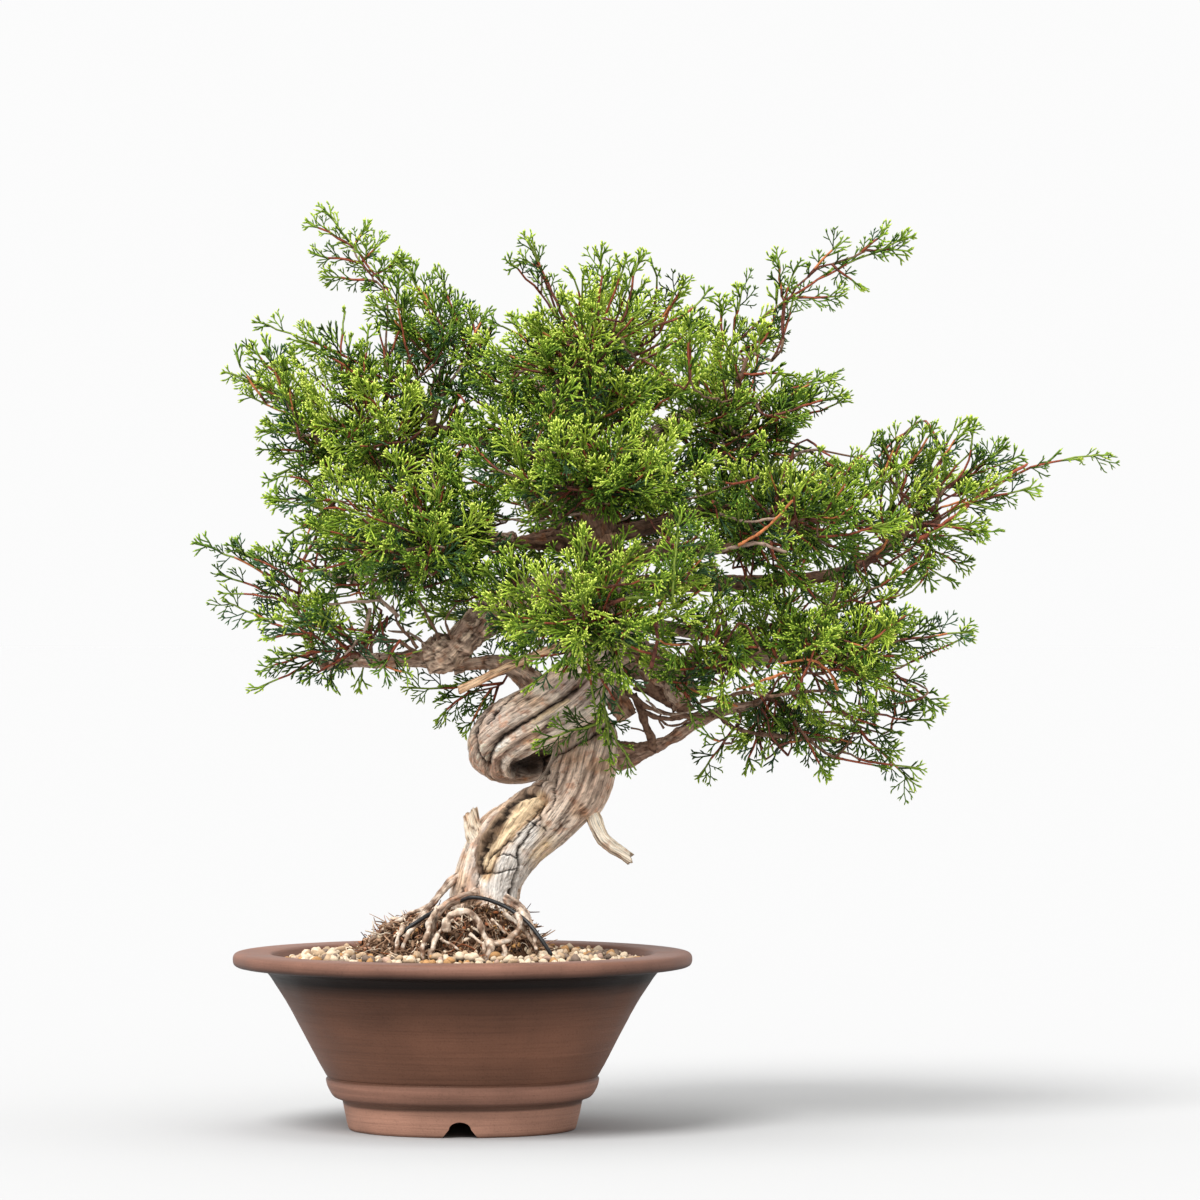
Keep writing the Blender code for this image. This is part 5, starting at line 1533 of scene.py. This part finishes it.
class Skeleton:
    """Twigs that grow on from the limbs to the shoots, thicker where they carry more."""

    def __init__(self):
        self.pos, self.dir, self.parent, self.length, self.load = [], [], [], [], []
        self.fixed = []            # radius of a node that lies on a limb, or 0
        self.group = []            # limb or pad the node belongs to

    def node(self, p, d, parent, group, fixed=0.0):
        self.pos.append(np.asarray(p, float))
        self.dir.append(unit(d))
        self.parent.append(parent)
        self.length.append(0.0 if parent < 0 else self.length[parent] + np.linalg.norm(self.pos[-1] - self.pos[parent]))
        self.load.append(0.0)
        self.fixed.append(fixed)
        self.group.append(group)
        return len(self.pos) - 1

    def nearest(self, p, d, groups):
        ids = [i for i, g in enumerate(self.group) if g in groups]
        q = np.array([self.pos[i] for i in ids])
        run = np.array([self.length[i] for i in ids])
        way = p - q
        dist = np.linalg.norm(way, axis=1)
        ahead = np.einsum("ij,ij->i", way, np.array([self.dir[i] for i in ids])) / (dist + 1e-6)
        cost = dist * (1.25 - 0.35 * ahead) + 0.22 * run + np.where(dist < 3.0, 8.0, 0.0)
        return ids[int(np.argmin(cost))]

    def grow(self, start, end, d_end, group, rng, step=4.5):
        a, b = self.pos[start], np.asarray(end, float)
        span = np.linalg.norm(b - a)
        d0 = unit(0.55 * self.dir[start] + unit(b - a) + 0.12 * rng.normal(size=3))
        c0 = a + d0 * span * 0.36
        c1 = b - unit(unit(d_end) + 0.7 * unit(b - a)) * span * 0.30
        n = max(2, int(span / step))
        last = start
        prev = a
        for k in range(1, n + 1):
            t = k / n
            p = (1 - t) ** 3 * a + 3 * t * (1 - t) ** 2 * c0 + 3 * t * t * (1 - t) * c1 + t ** 3 * b
            if k < n:
                p = p + rng.normal(0, 0.5, 3)
            last = self.node(p, p - prev, last, group)
            prev = p
        return last

    def carry(self, tip, amount):
        k = tip
        while k >= 0:
            self.load[k] += amount
            k = self.parent[k]


def all_pads_tree(pads):
    v, f, n = [], [], 0
    for pad in pads.values():
        v.append(pad.v)
        f.append(pad.f + n)
        n += len(pad.v)
    return BVHTree.FromPolygons(np.vstack(v).tolist(), np.vstack(f).tolist())


def openness(tree, p, n, rng, rays=9, reach=75.0):
    """Share of the sky over a point of a pad that its neighbours leave free."""
    free = 0
    start = p + n * 1.2
    for _ in range(rays):
        d = unit(n * 0.9 + rng.normal(size=3) * 0.75)
        if d @ n < 0.05:
            d = n
        if tree.ray_cast(Vector(start), Vector(d), reach)[0] is None:
            free += 1
    return free / rays


def build_foliage(rng):
    bank = {"tiny": [spray_template(rng, L, 2.5) for L in (7.0, 8.0, 9.0, 9.5)],
            "small": [spray_template(rng, L, 2.8) for L in (11.0, 12.0, 13.0, 13.5, 12.5)],
            "medium": [spray_template(rng, L, 3.0) for L in (15.0, 16.0, 17.5, 18.5, 16.5)],
            "large": [spray_template(rng, L, 3.2) for L in (21.0, 22.5, 24.0, 26.0, 23.0)],
            "thin": [spray_template(rng, L, 4.0) for L in (9.0, 12.0, 14.0, 17.0)]}

    sk = Skeleton()
    for name, (pts, r0, r1) in LIMBS.items():
        if name in DEADWOOD or name == "stub_cut":
            continue
        c = catmull(limb_rows(pts, r0, r1), 5.0)
        for k in range(len(c)):
            d = c[min(k + 1, len(c) - 1), :3] - c[max(k - 1, 0), :3]
            if k >= len(c) * 0.35:
                sk.node(c[k, :3], d, -1, name, c[k, 3])
    c = catmull(TRUNK[LEADER_FROM + 1:], 5.0)
    for k in range(len(c)):
        d = c[min(k + 1, len(c) - 1), :3] - c[max(k - 1, 0), :3]
        if c[k, 2] > 318:
            sk.node(c[k, :3], d, -1, "leader", c[k, 3])

    # shoot: pad, base, tip, axis at its base, light, side spray length, gap, leader or not
    shoots = []
    pads = {name: Pad(name) for name in PADS}
    tree = all_pads_tree(pads)
    for name, (feeds, region, full, bright) in PADS.items():
        pad = pads[name]
        if full == 0:
            continue
        anchors = [sk.pos[i] for i, g in enumerate(sk.group) if g in feeds]
        anchor = np.mean(anchors[-4:], axis=0)
        heart = pad.centre * 0.6 + anchor * 0.4
        spent = 0.0
        want = pad.area.sum() / 600.0 * full
        tips, found, tries = [], [], 0
        while len(found) < want * 0.96 and tries < 2500:
            tries += 1
            p, n = pad.sample(rng)
            sky = openness(tree, p, n, rng)
            if rng.uniform() > 0.10 + 0.90 * min(1.0, sky * 1.5):
                spent += 0.4
                if spent > want * 1.6:
                    break
                continue
            if n[2] < -0.5 and rng.uniform() < 0.35:
                continue
            gap = 20.0 if sky > 0.35 else 25.0
            if any(np.linalg.norm(p - q) < gap for q in tips):
                continue
            tips.append(p)
            found.append((p, n, sky))
        for p, n, sky in found:
            out = unit((p - CROWN_CENTRE) / CROWN_SIZE)
            away = unit(p - heart)
            push = np.array([0.55, 0, 0.1]) if name == "foliage_far_right" else np.array([-0.4, 0, 0]) if name == "foliage_left_low" else 0.0
            d = unit(0.30 * n + 0.62 * away + 0.45 * out + push + np.array([0, 0, 0.30]) + 0.22 * rng.normal(size=3))
            d0 = unit(0.55 * d + 0.65 * away + 0.15 * rng.normal(size=3))
            # a shoot in the groove between two pads reaches out to close it
            groove = 12.0 * np.clip(1 - abs(sky - 0.35) / 0.35, 0, 1)
            tip = p + d * (groove * rng.uniform(0.3, 1.0) + rng.normal(-1.5, 3.2))
            length = min(rng.uniform(36, 62), 0.92 * np.linalg.norm(p - heart) + 14)
            base = tip - unit(0.5 * d + 0.5 * d0) * length
            # painted light: a shoot's sprays take lighter tones where its spot on the pad faces up, faces out of the
            # crown and sees the sky, and darker ones in the crown's shade
            light = 0.40 + 0.20 * float(n @ out) + 0.26 * float(n[2]) + 0.18 * sky + bright + rng.normal(0, 0.13)
            shoots.append((name, base, tip, d0, light, rng.uniform(19, 27), rng.uniform(5.8, 7.4), False))
        for _ in range(int(len(found) * 0.16)):
            p, n = pad.sample(rng)
            q = heart + (p - heart) * rng.uniform(0.3, 0.78)
            d = unit(unit(q - heart) + 0.5 * rng.normal(size=3) + np.array([0, 0, 0.25]))
            length = min(rng.uniform(22, 34), 0.9 * np.linalg.norm(q - heart) + 8)
            shoots.append((name, q - d * length, q, d, 0.06, 20.0, 6.5, False))
    for name, a, ya, b, yb, side, gap, bow in LEADERS:
        a, b = unproject(*a, ya), unproject(*b, yb)
        span = np.linalg.norm(b - a)
        up = np.cross(unit(b - a), [0, -1.0, 0])
        shoots.append((name, a, b, unit(b - a + up * span * bow * 2 * (1 if up[2] >= 0 else -1)), 0.52 + PADS[name][3], side * (0.84 if name.startswith("foliage_") and side >= 13 else 1.0), gap, True))

    # keep the shoots within the crown's outline, and grow more where the front view would be bare
    kept = []
    for s in shoots:
        name, base, tip = s[:3]
        if not s[7]:
            for _ in range(5):
                if in_crown(tip):
                    break
                tip = base + (tip - base) * 0.84
            for _ in range(3):
                if on_bare_wood(tip):
                    tip = base + (tip - base) * 0.72
            if not in_crown(tip) or not in_crown(base + (tip - base) * 0.5) or on_bare_wood(tip):
                continue
        kept.append((name, base, tip) + s[3:])
    shoots = kept
    cover = np.zeros((100, 100))
    axis_px, axis_y, axis_pad = [], [], []

    def lay(base, tip, name, leader):
        for u in np.linspace(0.3 if not leader else 0.1, 1.0, 8):
            q = base + (tip - base) * u
            x, y = pixel(q)
            r = 13.0 if not leader else 9.0
            dx = (np.arange(100) * 12 + 6 - x)[None, :]
            dy = (np.arange(100) * 12 + 6 - y)[:, None]
            cover[:] += (dx * dx + dy * dy < r * r)
            if u > 0.45:
                axis_px.append((x, y))
                axis_y.append(q[1])
                axis_pad.append(name)

    for s in shoots:
        lay(s[1], s[2], s[0], s[7])
    cells = [(x, y) for x in range(6, 1200, 12) for y in range(6, 1200, 12) if inside_outline([x], [y])[0]]
    rng.shuffle(cells)
    added = 0
    for x, y in cells:
        px, py = x + rng.uniform(-4, 4), y + rng.uniform(-4, 4)
        if cover[int(y // 12), int(x // 12)] >= 2.0 or in_gap(unproject(px, py, -20.0)):
            continue
        near = np.argsort(np.hypot(np.array(axis_px)[:, 0] - px, np.array(axis_px)[:, 1] - py))[:10]
        depth = float(np.percentile(np.array(axis_y)[near], 30)) + rng.normal(0, 5)
        name = axis_pad[near[0]]
        if on_bare_wood(unproject(px, py, depth)) or name == "foliage_sprig":
            continue
        if name.startswith("shoot_"):
            if not (388 < px < 530 and py > 306 and name != "shoot_left"):
                continue
            name, depth = "foliage_left_top", -8.0 + rng.normal(0, 12)
        tip = unproject(px, py, depth)
        heart = pads[name].centre * np.array([1, 1, 1])
        way = unit(tip - heart) if np.linalg.norm(tip - heart) > 8 else np.array([0, -1.0, 0])
        d = unit(way + 0.5 * unit((tip - CROWN_CENTRE) / CROWN_SIZE) + np.array([0, 0, 0.3]) + 0.3 * rng.normal(size=3))
        tip = tip + d * 7.0
        base = tip - d * rng.uniform(24, 38)
        shoots.append((name, base, tip, unit(d + 0.3 * rng.normal(size=3)), 0.42 + rng.normal(0, 0.14), rng.uniform(15, 21), 6.2, False))
        lay(base, tip, name, False)
        added += 1
    for px, py, depth in DRAPES:
        tip = unproject(px, py, depth)
        name = min((n for n in pads if PADS[n][2] > 0), key=lambda n: np.linalg.norm(pads[n].centre - tip))
        d = unit(np.array([0.25 * np.sign(px - 600), -0.5, -0.25]) + 0.3 * rng.normal(size=3))
        base = tip - d * rng.uniform(24, 34)
        shoots.append((name, base, tip, unit(d + 0.3 * rng.normal(size=3)), 0.34 + rng.normal(0, 0.12), rng.uniform(15, 20), 6.2, False))

    for way, depth, r0, r1, slot in INNER:
        if depth is None:
            (ax, ay), (bx, by) = way[0], way[-1]
            near = np.argsort(np.hypot(np.array(axis_px)[:, 0] - (ax + bx) / 2, np.array(axis_px)[:, 1] - (ay + by) / 2))[:8]
            front = float(np.percentile(np.array(axis_y)[near], 15))
            a, b = unproject(ax, ay, front + 6.0), unproject(bx, by, front)
            if b[2] < a[2]:
                a, b = b, a
            name = axis_pad[near[0]]
            shoots.append((name, a, b + unit(b - a) * 6.0, unit(b - a + 3.0 * rng.normal(size=3)), 0.5, 10.0, 5.5, True))

    # connect: nearest first, so that near shoots become the way to far ones
    by_pad = {}
    for s in shoots:
        by_pad.setdefault(s[0], []).append(s)
    order = [n for n in PADS if not n.startswith("shoot_")] + [n for n in PADS if n.startswith("shoot_")]
    ways = []
    for name in order:
        groups = set(PADS[name][0]) | {"pad:" + name}
        got = by_pad.get(name, [])
        start = np.array([sk.pos[i] for i, g in enumerate(sk.group) if g in groups])
        got.sort(key=lambda s: np.min(np.linalg.norm(start - s[1], axis=1)))
        for s in got:
            k = sk.nearest(s[1], s[3], groups)
            end = sk.grow(k, s[1], s[3], "pad:" + name, rng)
            sk.carry(end, 0.2 if s[7] and np.linalg.norm(s[2] - s[1]) < 32 else 1.0)
            ways.append((s, k, end))

    regions = {}
    twigs = Mesh()
    count = 0
    for (name, base, tip, d0, light, reach, gap, leader), k, end in ways:
        region = PADS[name][1]
        span = np.linalg.norm(tip - base)
        n = max(4, int(span / 5.0))
        t = np.linspace(0, 1, n + 1)[:, None]
        ctrl = base + d0 * span * 0.5
        curve = (1 - t) ** 2 * base + 2 * t * (1 - t) * ctrl + t ** 2 * tip
        curve[1:-1] += rng.normal(0, 0.35, (n - 1, 3))
        tan = unit(np.gradient(curve, axis=0))
        vv, ff = tube(curve, np.linspace(0.74 if leader else 0.62, 0.40, n + 1), 4)
        seg = np.minimum(np.arange(len(ff)) // 8, n - 1) / n
        old = rng.choice([1, 2], p=[0.6, 0.4])
        slots = np.where(seg < (0.40 if span > 32 else 0.1), old, np.where(seg < (0.66 if leader else 0.58), 2 if rng.uniform() < 0.8 else 3, 4))
        twigs.add(vv, ff, 4 if name == "foliage_front" and leader else slots)
        x = span * 0.03 if leader else span * 0.12
        turn = rng.uniform(0, 2 * math.pi)
        ref = unit(np.cross(tan[0], [0.13, 0.2, 1.0]))
        if leader:
            ref = unit(np.cross(tan[0], [0, -1.0, 0.15]))
            turn = rng.choice([0, math.pi])
        while x < span * 0.96:
            u = x / span
            i = min(int(u * n), n - 1)
            o = curve[i] + (curve[i + 1] - curve[i]) * (u * n - i)
            ax = tan[i]
            e1 = unit(ref - ax * float(ref @ ax))
            e2 = np.cross(ax, e1)
            turn += math.pi + (rng.normal(0, 0.45) if leader else rng.normal(0, 0.5) + 0.4)
            out = e1 * math.cos(turn) + e2 * math.sin(turn)
            ang = math.radians(rng.uniform(36, 54) - 12 * u)
            axis = unit(ax * math.cos(ang) + out * math.sin(ang) + np.array([0, 0, 0.14]))
            flat = unit(np.cross(ax, out) + 0.50 * rng.normal(size=3))
            left = (1 - u) * span
            want = min(reach * (1.3 if leader else 1.0), 7.5 + left * (0.50 if not leader else 0.26)) * rng.uniform(0.80, 1.15)
            kind = "tiny" if want < 10 else "small" if want < 14 else "medium" if want < 19.5 else "large"
            if leader and u > 0.5 and rng.uniform() < 0.6:
                kind = "thin"
            tpl = bank[kind][rng.integers(len(bank[kind]))]
            scale = np.clip(want / float(tpl[0][:, 0].max()), 0.72, 1.22)
            mid = o + axis * want * 0.5
            far = o + axis * want * 0.95
            if rng.uniform() < sparse(far) * (0.6 if leader else 1.0):
                x += gap
                continue
            if not (in_gap(mid) or in_gap(far) or on_bare_wood(mid, leader) or on_bare_wood(far, leader)) and (
                    leader or (in_crown(far) and in_crown(mid) and (in_crown(far, _CORE) or rng.uniform() < 0.54))):
                # the tone is painted light: lit and shaded copies of the green, lighter further out along the shoot and
                # darker at the crown's outline; some of the two darkest take the bluish tone
                e = light + 0.30 * (u - 0.55) + rng.normal(0, 0.18) - (0.0 if in_crown(far, _CORE) else 0.16)
                tone = 0 if e < 0.16 else 1 if e < 0.36 else 2 if e < 0.58 else 3 if e < 0.80 else 4
                if tone <= 1 and rng.uniform() < 0.30:
                    tone = 5
                v, f, kk = tpl
                z = unit(flat - axis * float(flat @ axis))
                m = np.stack([axis, np.cross(z, axis), z])
                regions.setdefault(region, Mesh()).add((v * scale) @ m + o, f, tone * 3 + kk)
                count += 1
            x += gap * rng.uniform(0.8, 1.2) * (1.0 if left > 14 else 0.8) * (min(1.0, 0.55 + 0.6 * u) if leader else 1.0)
        if not (in_gap(tip) or on_bare_wood(tip, leader)):
            v, f, kk = bank["tiny"][rng.integers(4)]
            axis, flat = tan[-1], unit(rng.normal(size=3))
            z = unit(flat - axis * float(flat @ axis))
            m = np.stack([axis, np.cross(z, axis), z])
            # its tone too is painted light
            regions.setdefault(region, Mesh()).add(v * rng.uniform(0.85, 1.1) @ m + curve[-2], f, (3 if light > 0.45 else 2) * 3 + kk)
            count += 1

    # the twigs that carry the shoots, from pipe-model radii
    radius = [max(0.50, 0.48 * max(w, 1.0) ** 0.48) for w in sk.load]
    for s, k, end in ways:
        path = [end]
        while sk.parent[path[-1]] >= 0 and path[-1] != k:
            path.append(sk.parent[path[-1]])
        path = path[::-1]
        pts = np.array([sk.pos[i] for i in path])
        rad = np.array([radius[i] for i in path])
        if sk.fixed[path[0]]:
            rad[0] = min(sk.fixed[path[0]] * 0.8, rad[1] * 1.3)
        else:
            rad[0] = min(rad[0], rad[1] * 1.25)
        for i in range(1, len(rad)):
            rad[i] = min(rad[i], rad[i - 1])
        vv, ff = tube(pts, rad, 8 if rad.max() > 1.5 else 6 if rad.max() > 0.95 else 5)
        slot = 0 if rad.mean() > 1.0 else int(rng.choice([0, 1, 5], p=[0.45, 0.35, 0.2]))
        twigs.add(vv, ff, 4 if s[0] == "foliage_front" and rad.mean() < 0.9 else slot)
    add_inner_twigs(twigs)
    print("SPRAYS", count, "SHOOTS", len(ways), {k: m.tris() for k, m in regions.items()}, "TWIGS", twigs.tris())

    # lit and shaded copies of the green, from painted shade to painted light, with a bluish one beside them
    tones = [  # old cord, young cord, tip
        ("shade", (33, 50, 14), (46, 67, 18), (78, 104, 30)),
        ("deep", (44, 67, 20), (62, 92, 24), (112, 140, 42)),
        ("green", (59, 84, 22), (89, 120, 33), (153, 178, 61)),
        ("fresh", (81, 106, 30), (121, 150, 43), (190, 208, 83)),
        ("bright", (113, 137, 42), (159, 183, 60), (219, 231, 110)),
        ("blue", (44, 68, 44), (62, 92, 60), (104, 134, 86)),
    ]
    mats = []
    for name, a, b, c in tones:
        mats += [leaf_material(name + "_old", a), leaf_material(name + "_young", b), leaf_material(name + "_tip", c)]
    nodes_of = {}
    for name, row in PADS.items():
        nodes_of.setdefault(row[1], []).append(name)
    for region, mesh in regions.items():
        ob = mesh.make("leaves_" + region, mats)
        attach(ob, "root")
        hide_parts(*nodes_of[region])
    twig_mats = [twig_material("twig_brown", (120, 92, 74), (72, 50, 40)), twig_material("twig_plum", (112, 66, 54), (70, 40, 34)),
                 twig_material("twig_red", (146, 76, 54), (88, 46, 36)), twig_material("twig_orange", (188, 116, 72), (134, 76, 48)),
                 twig_material("twig_green", (122, 140, 58), (96, 112, 44)), twig_material("twig_grey", (150, 128, 112), (98, 76, 64))]
    ob = twigs.make("twigs", twig_mats)
    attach(ob, "root")
    return sum(m.tris() for m in regions.values()) + twigs.tris()


# inner twigs that show in the front's openings: way in view pixels, depth or None for just under the leaves,
# radii in mm at its start and end, twig colour
INNER = [
    ([(543, 520), (532, 500), (514, 488)], -6, 1.3, 0.7, 0), ([(543, 518), (556, 496), (575, 474)], -4, 1.5, 0.8, 0),
    ([(540, 522), (562, 516), (588, 511)], -8, 1.0, 0.7, 5), ([(535, 522), (516, 520), (497, 522)], -8, 1.0, 0.7, 5),
    ([(546, 528), (530, 512), (522, 496)], -10, 0.9, 0.6, 5), ([(552, 524), (566, 502), (570, 484)], -10, 0.8, 0.6, 0),
    ([(533, 452), (548, 424), (563, 398)], None, 1.1, 0.8, 1), ([(477, 446), (488, 456), (498, 470)], None, 0.9, 0.7, 2),
    ([(642, 457), (656, 478), (666, 492), (677, 510)], -16, 1.2, 1.5, 0), ([(727, 417), (720, 432), (712, 448)], None, 0.9, 1.1, 1),
    ([(799, 408), (781, 423), (766, 442), (747, 462)], None, 0.8, 1.1, 2), ([(700, 553), (738, 547), (759, 544), (786, 552)], -60, 1.5, 1.0, 5),
    ([(738, 546), (766, 528), (792, 501)], -62, 1.1, 0.7, 3), ([(718, 514), (750, 521), (788, 516)], -56, 1.0, 0.8, 5),
    ([(399, 616), (378, 597), (366, 576), (345, 578), (329, 592)], -48, 1.3, 0.7, 5), ([(380, 601), (356, 602), (329, 604)], -50, 1.0, 0.7, 5),
    ([(370, 608), (364, 630), (345, 655)], -44, 1.2, 0.7, 5), ([(420, 655), (396, 641), (364, 641)], -30, 1.6, 0.8, 0),
    ([(418, 648), (400, 626), (392, 606)], -30, 1.2, 0.7, 0), ([(430, 650), (412, 634), (388, 630)], -24, 1.1, 0.6, 5),
    ([(440, 640), (428, 616), (420, 600)], -24, 1.1, 0.7, 0), ([(452, 640), (446, 620), (456, 604)], -26, 0.9, 0.6, 0),
    ([(634, 694), (641, 712), (650, 734), (654, 750)], -8, 2.5, 2.7, 0), ([(648, 646), (646, 666), (653, 688), (672, 702), (688, 707)], -14, 3.6, 3.7, 0),
    ([(634, 686), (650, 692), (666, 702), (684, 712)], -10, 2.2, 2.4, 0), ([(640, 710), (660, 718), (676, 718), (700, 712)], -9, 1.6, 1.3, 0),
    ([(630, 728), (644, 731), (652, 736)], -10, 0.7, 0.5, 0), ([(648, 664), (662, 672), (676, 668), (692, 650)], -18, 1.8, 1.3, 0),
    ([(652, 690), (668, 682), (690, 676), (716, 684)], -16, 1.7, 1.2, 0), ([(664, 728), (659, 720), (662, 712)], -9, 0.7, 0.5, 0),
    ([(628, 692), (650, 708), (682, 716), (712, 718)], -16, 1.7, 1.2, 0),
    ([(646, 700), (664, 714), (690, 712)], -22, 0.8, 0.6, 5), ([(655, 716), (672, 726), (700, 716)], -8, 0.9, 0.7, 0),
    ([(700, 702), (744, 693), (770, 696), (808, 691), (842, 693)], -44, 1.3, 0.8, 0), ([(838, 690), (826, 668), (806, 660), (780, 664)], -54, 0.9, 0.7, 3),
    ([(736, 690), (766, 680), (800, 668)], -56, 1.0, 0.8, 3), ([(715, 712), (740, 730), (800, 738), (840, 742)], -14, 1.8, 1.0, 0),
    ([(915, 542), (954, 517), (990, 488), (1027, 464)], -14, 1.5, 0.9, 2), ([(881, 586), (898, 576), (918, 565)], None, 1.0, 0.8, 2),
    ([(862, 572), (874, 560), (889, 548)], None, 0.9, 0.7, 2), ([(905, 468), (916, 454), (926, 440)], None, 0.8, 0.6, 2),
    ([(850, 671), (866, 662), (880, 652)], None, 1.2, 0.9, 2), ([(298, 431), (291, 402), (285, 374)], None, 1.0, 0.6, 2),
    ([(330, 470), (316, 446), (300, 432)], None, 1.1, 0.9, 1), ([(396, 492), (380, 462), (362, 438)], None, 1.0, 0.7, 2),
    ([(690, 378), (690, 356), (689, 332)], None, 0.7, 0.5, 2), ([(641, 480), (642, 458), (640, 436)], None, 0.8, 0.6, 2),
    ([(725, 446), (727, 428), (724, 409)], None, 0.7, 0.6, 2), ([(776, 446), (778, 428), (775, 409)], None, 0.7, 0.5, 2),
    ([(651, 668), (657, 640), (656, 622), (664, 596), (667, 574)], -90, 1.3, 0.8, 1), ([(768, 668), (772, 640), (780, 620)], None, 1.0, 0.7, 2),
    ([(690, 690), (716, 700), (738, 706)], -30, 1.1, 0.8, 3), ([(872, 640), (888, 628), (906, 618)], None, 1.0, 0.7, 2),
    ([(446, 356), (428, 330), (411, 333)], None, 1.3, 0.9, 1), ([(628, 560), (640, 546), (660, 540)], -50, 1.0, 0.8, 5),
]


def twig_material(name, rgb, dark):
    mat, nt, sh = node_material(name, 0.78, 0.2)
    n = noise_node(nt, 500.0, 4.0)
    col = ramp(nt, n.outputs["Fac"], [(0.32, lin(dark)), (0.52, lin(rgb)), (0.8, np.minimum(lin(rgb) * 1.25, 0.9))])
    nt.links.new(col, sh.inputs["Base Color"])
    bump(nt, sh, n.outputs["Fac"], 0.5, 0.0004)
    return mat


def add_inner_twigs(twigs):
    """The bare twigs of the openings; the rows without a depth are leafy shoots, grown with the others."""
    for way, depth, r0, r1, slot in INNER:
        if depth is None:
            continue
        pts = [unproject(px, py, depth) for px, py in way]
        c = catmull([(*p, 0.85 * (r0 + (r1 - r0) * i / (len(pts) - 1))) for i, p in enumerate(pts)], 1.6)
        c[:, :3] += 0.5 * np.stack([vnoise(c[:, :3] / 4.0 + 30 * q, q + 5) for q in range(3)], -1)
        vv, ff = tube(c[:, :3], c[:, 3] * (1 + 0.34 * vnoise(c[:, :3] / 1.8, 9)), 6)
        twigs.add(vv, ff, slot)


# ----------------------------------------------------------- stage and camera
def build_stage():
    bpy.ops.mesh.primitive_plane_add(size=1.0, location=(0, 0, 0))
    floor = bpy.context.object
    floor.name = "floor"
    floor.scale = (60, 60, 1)
    mat, nt, sh = node_material("pale_floor", 1.0, 0.0)
    sh.inputs["Base Color"].default_value = (0.4328, 0.4325, 0.4328, 1)
    floor.data.materials.append(mat)

    world_ = bpy.data.worlds.new("studio")
    bpy.context.scene.world = world_
    world_.use_nodes = True
    bg = world_.node_tree.nodes["Background"]
    bg.inputs["Color"].default_value = (1.0, 1.0, 1.0, 1)
    bg.inputs["Strength"].default_value = 0.97

    def sun(name, energy, angle, az, el):
        light = bpy.data.lights.new(name, "SUN")
        light.energy = energy
        light.angle = math.radians(angle)
        ob = bpy.data.objects.new(name, light)
        a, e = math.radians(az), math.radians(el)
        to = Vector((math.sin(a) * math.cos(e), -math.cos(a) * math.cos(e), math.sin(e)))
        ob.rotation_mode = "QUATERNION"
        ob.rotation_quaternion = to.to_track_quat("Z", "Y")
        bpy.context.scene.collection.objects.link(ob)

    sun("key_softbox", 3.4, 26, -26, 50)
    sun("top_softbox", 1.4, 60, 20, 82)

    cam = bpy.data.cameras.new("camera")
    cam.sensor_width = 36.0
    cam.lens = 36.0 * FOCAL_PX / 1200.0
    cam.clip_start, cam.clip_end = 0.1, 100.0
    ob = bpy.data.objects.new("camera", cam)
    ob.location = Vector(world((EYE_X, -DISTANCE, EYE_Z)))
    ob.rotation_euler = (math.radians(90), 0, 0)
    bpy.context.scene.collection.objects.link(ob)
    bpy.context.scene.camera = ob
    bpy.context.scene.view_settings.view_transform = "Standard"


rng = np.random.default_rng(20)
build_pot()
n_gravel = build_soil(np.random.default_rng(21))
n_fibre = build_mound(np.random.default_rng(22))
n_wood = build_wood()
n_leaf = build_foliage(np.random.default_rng(23))
print("TRIANGLES gravel", n_gravel, "fibres", n_fibre, "wood", n_wood, "leaves and twigs", n_leaf)
build_stage()
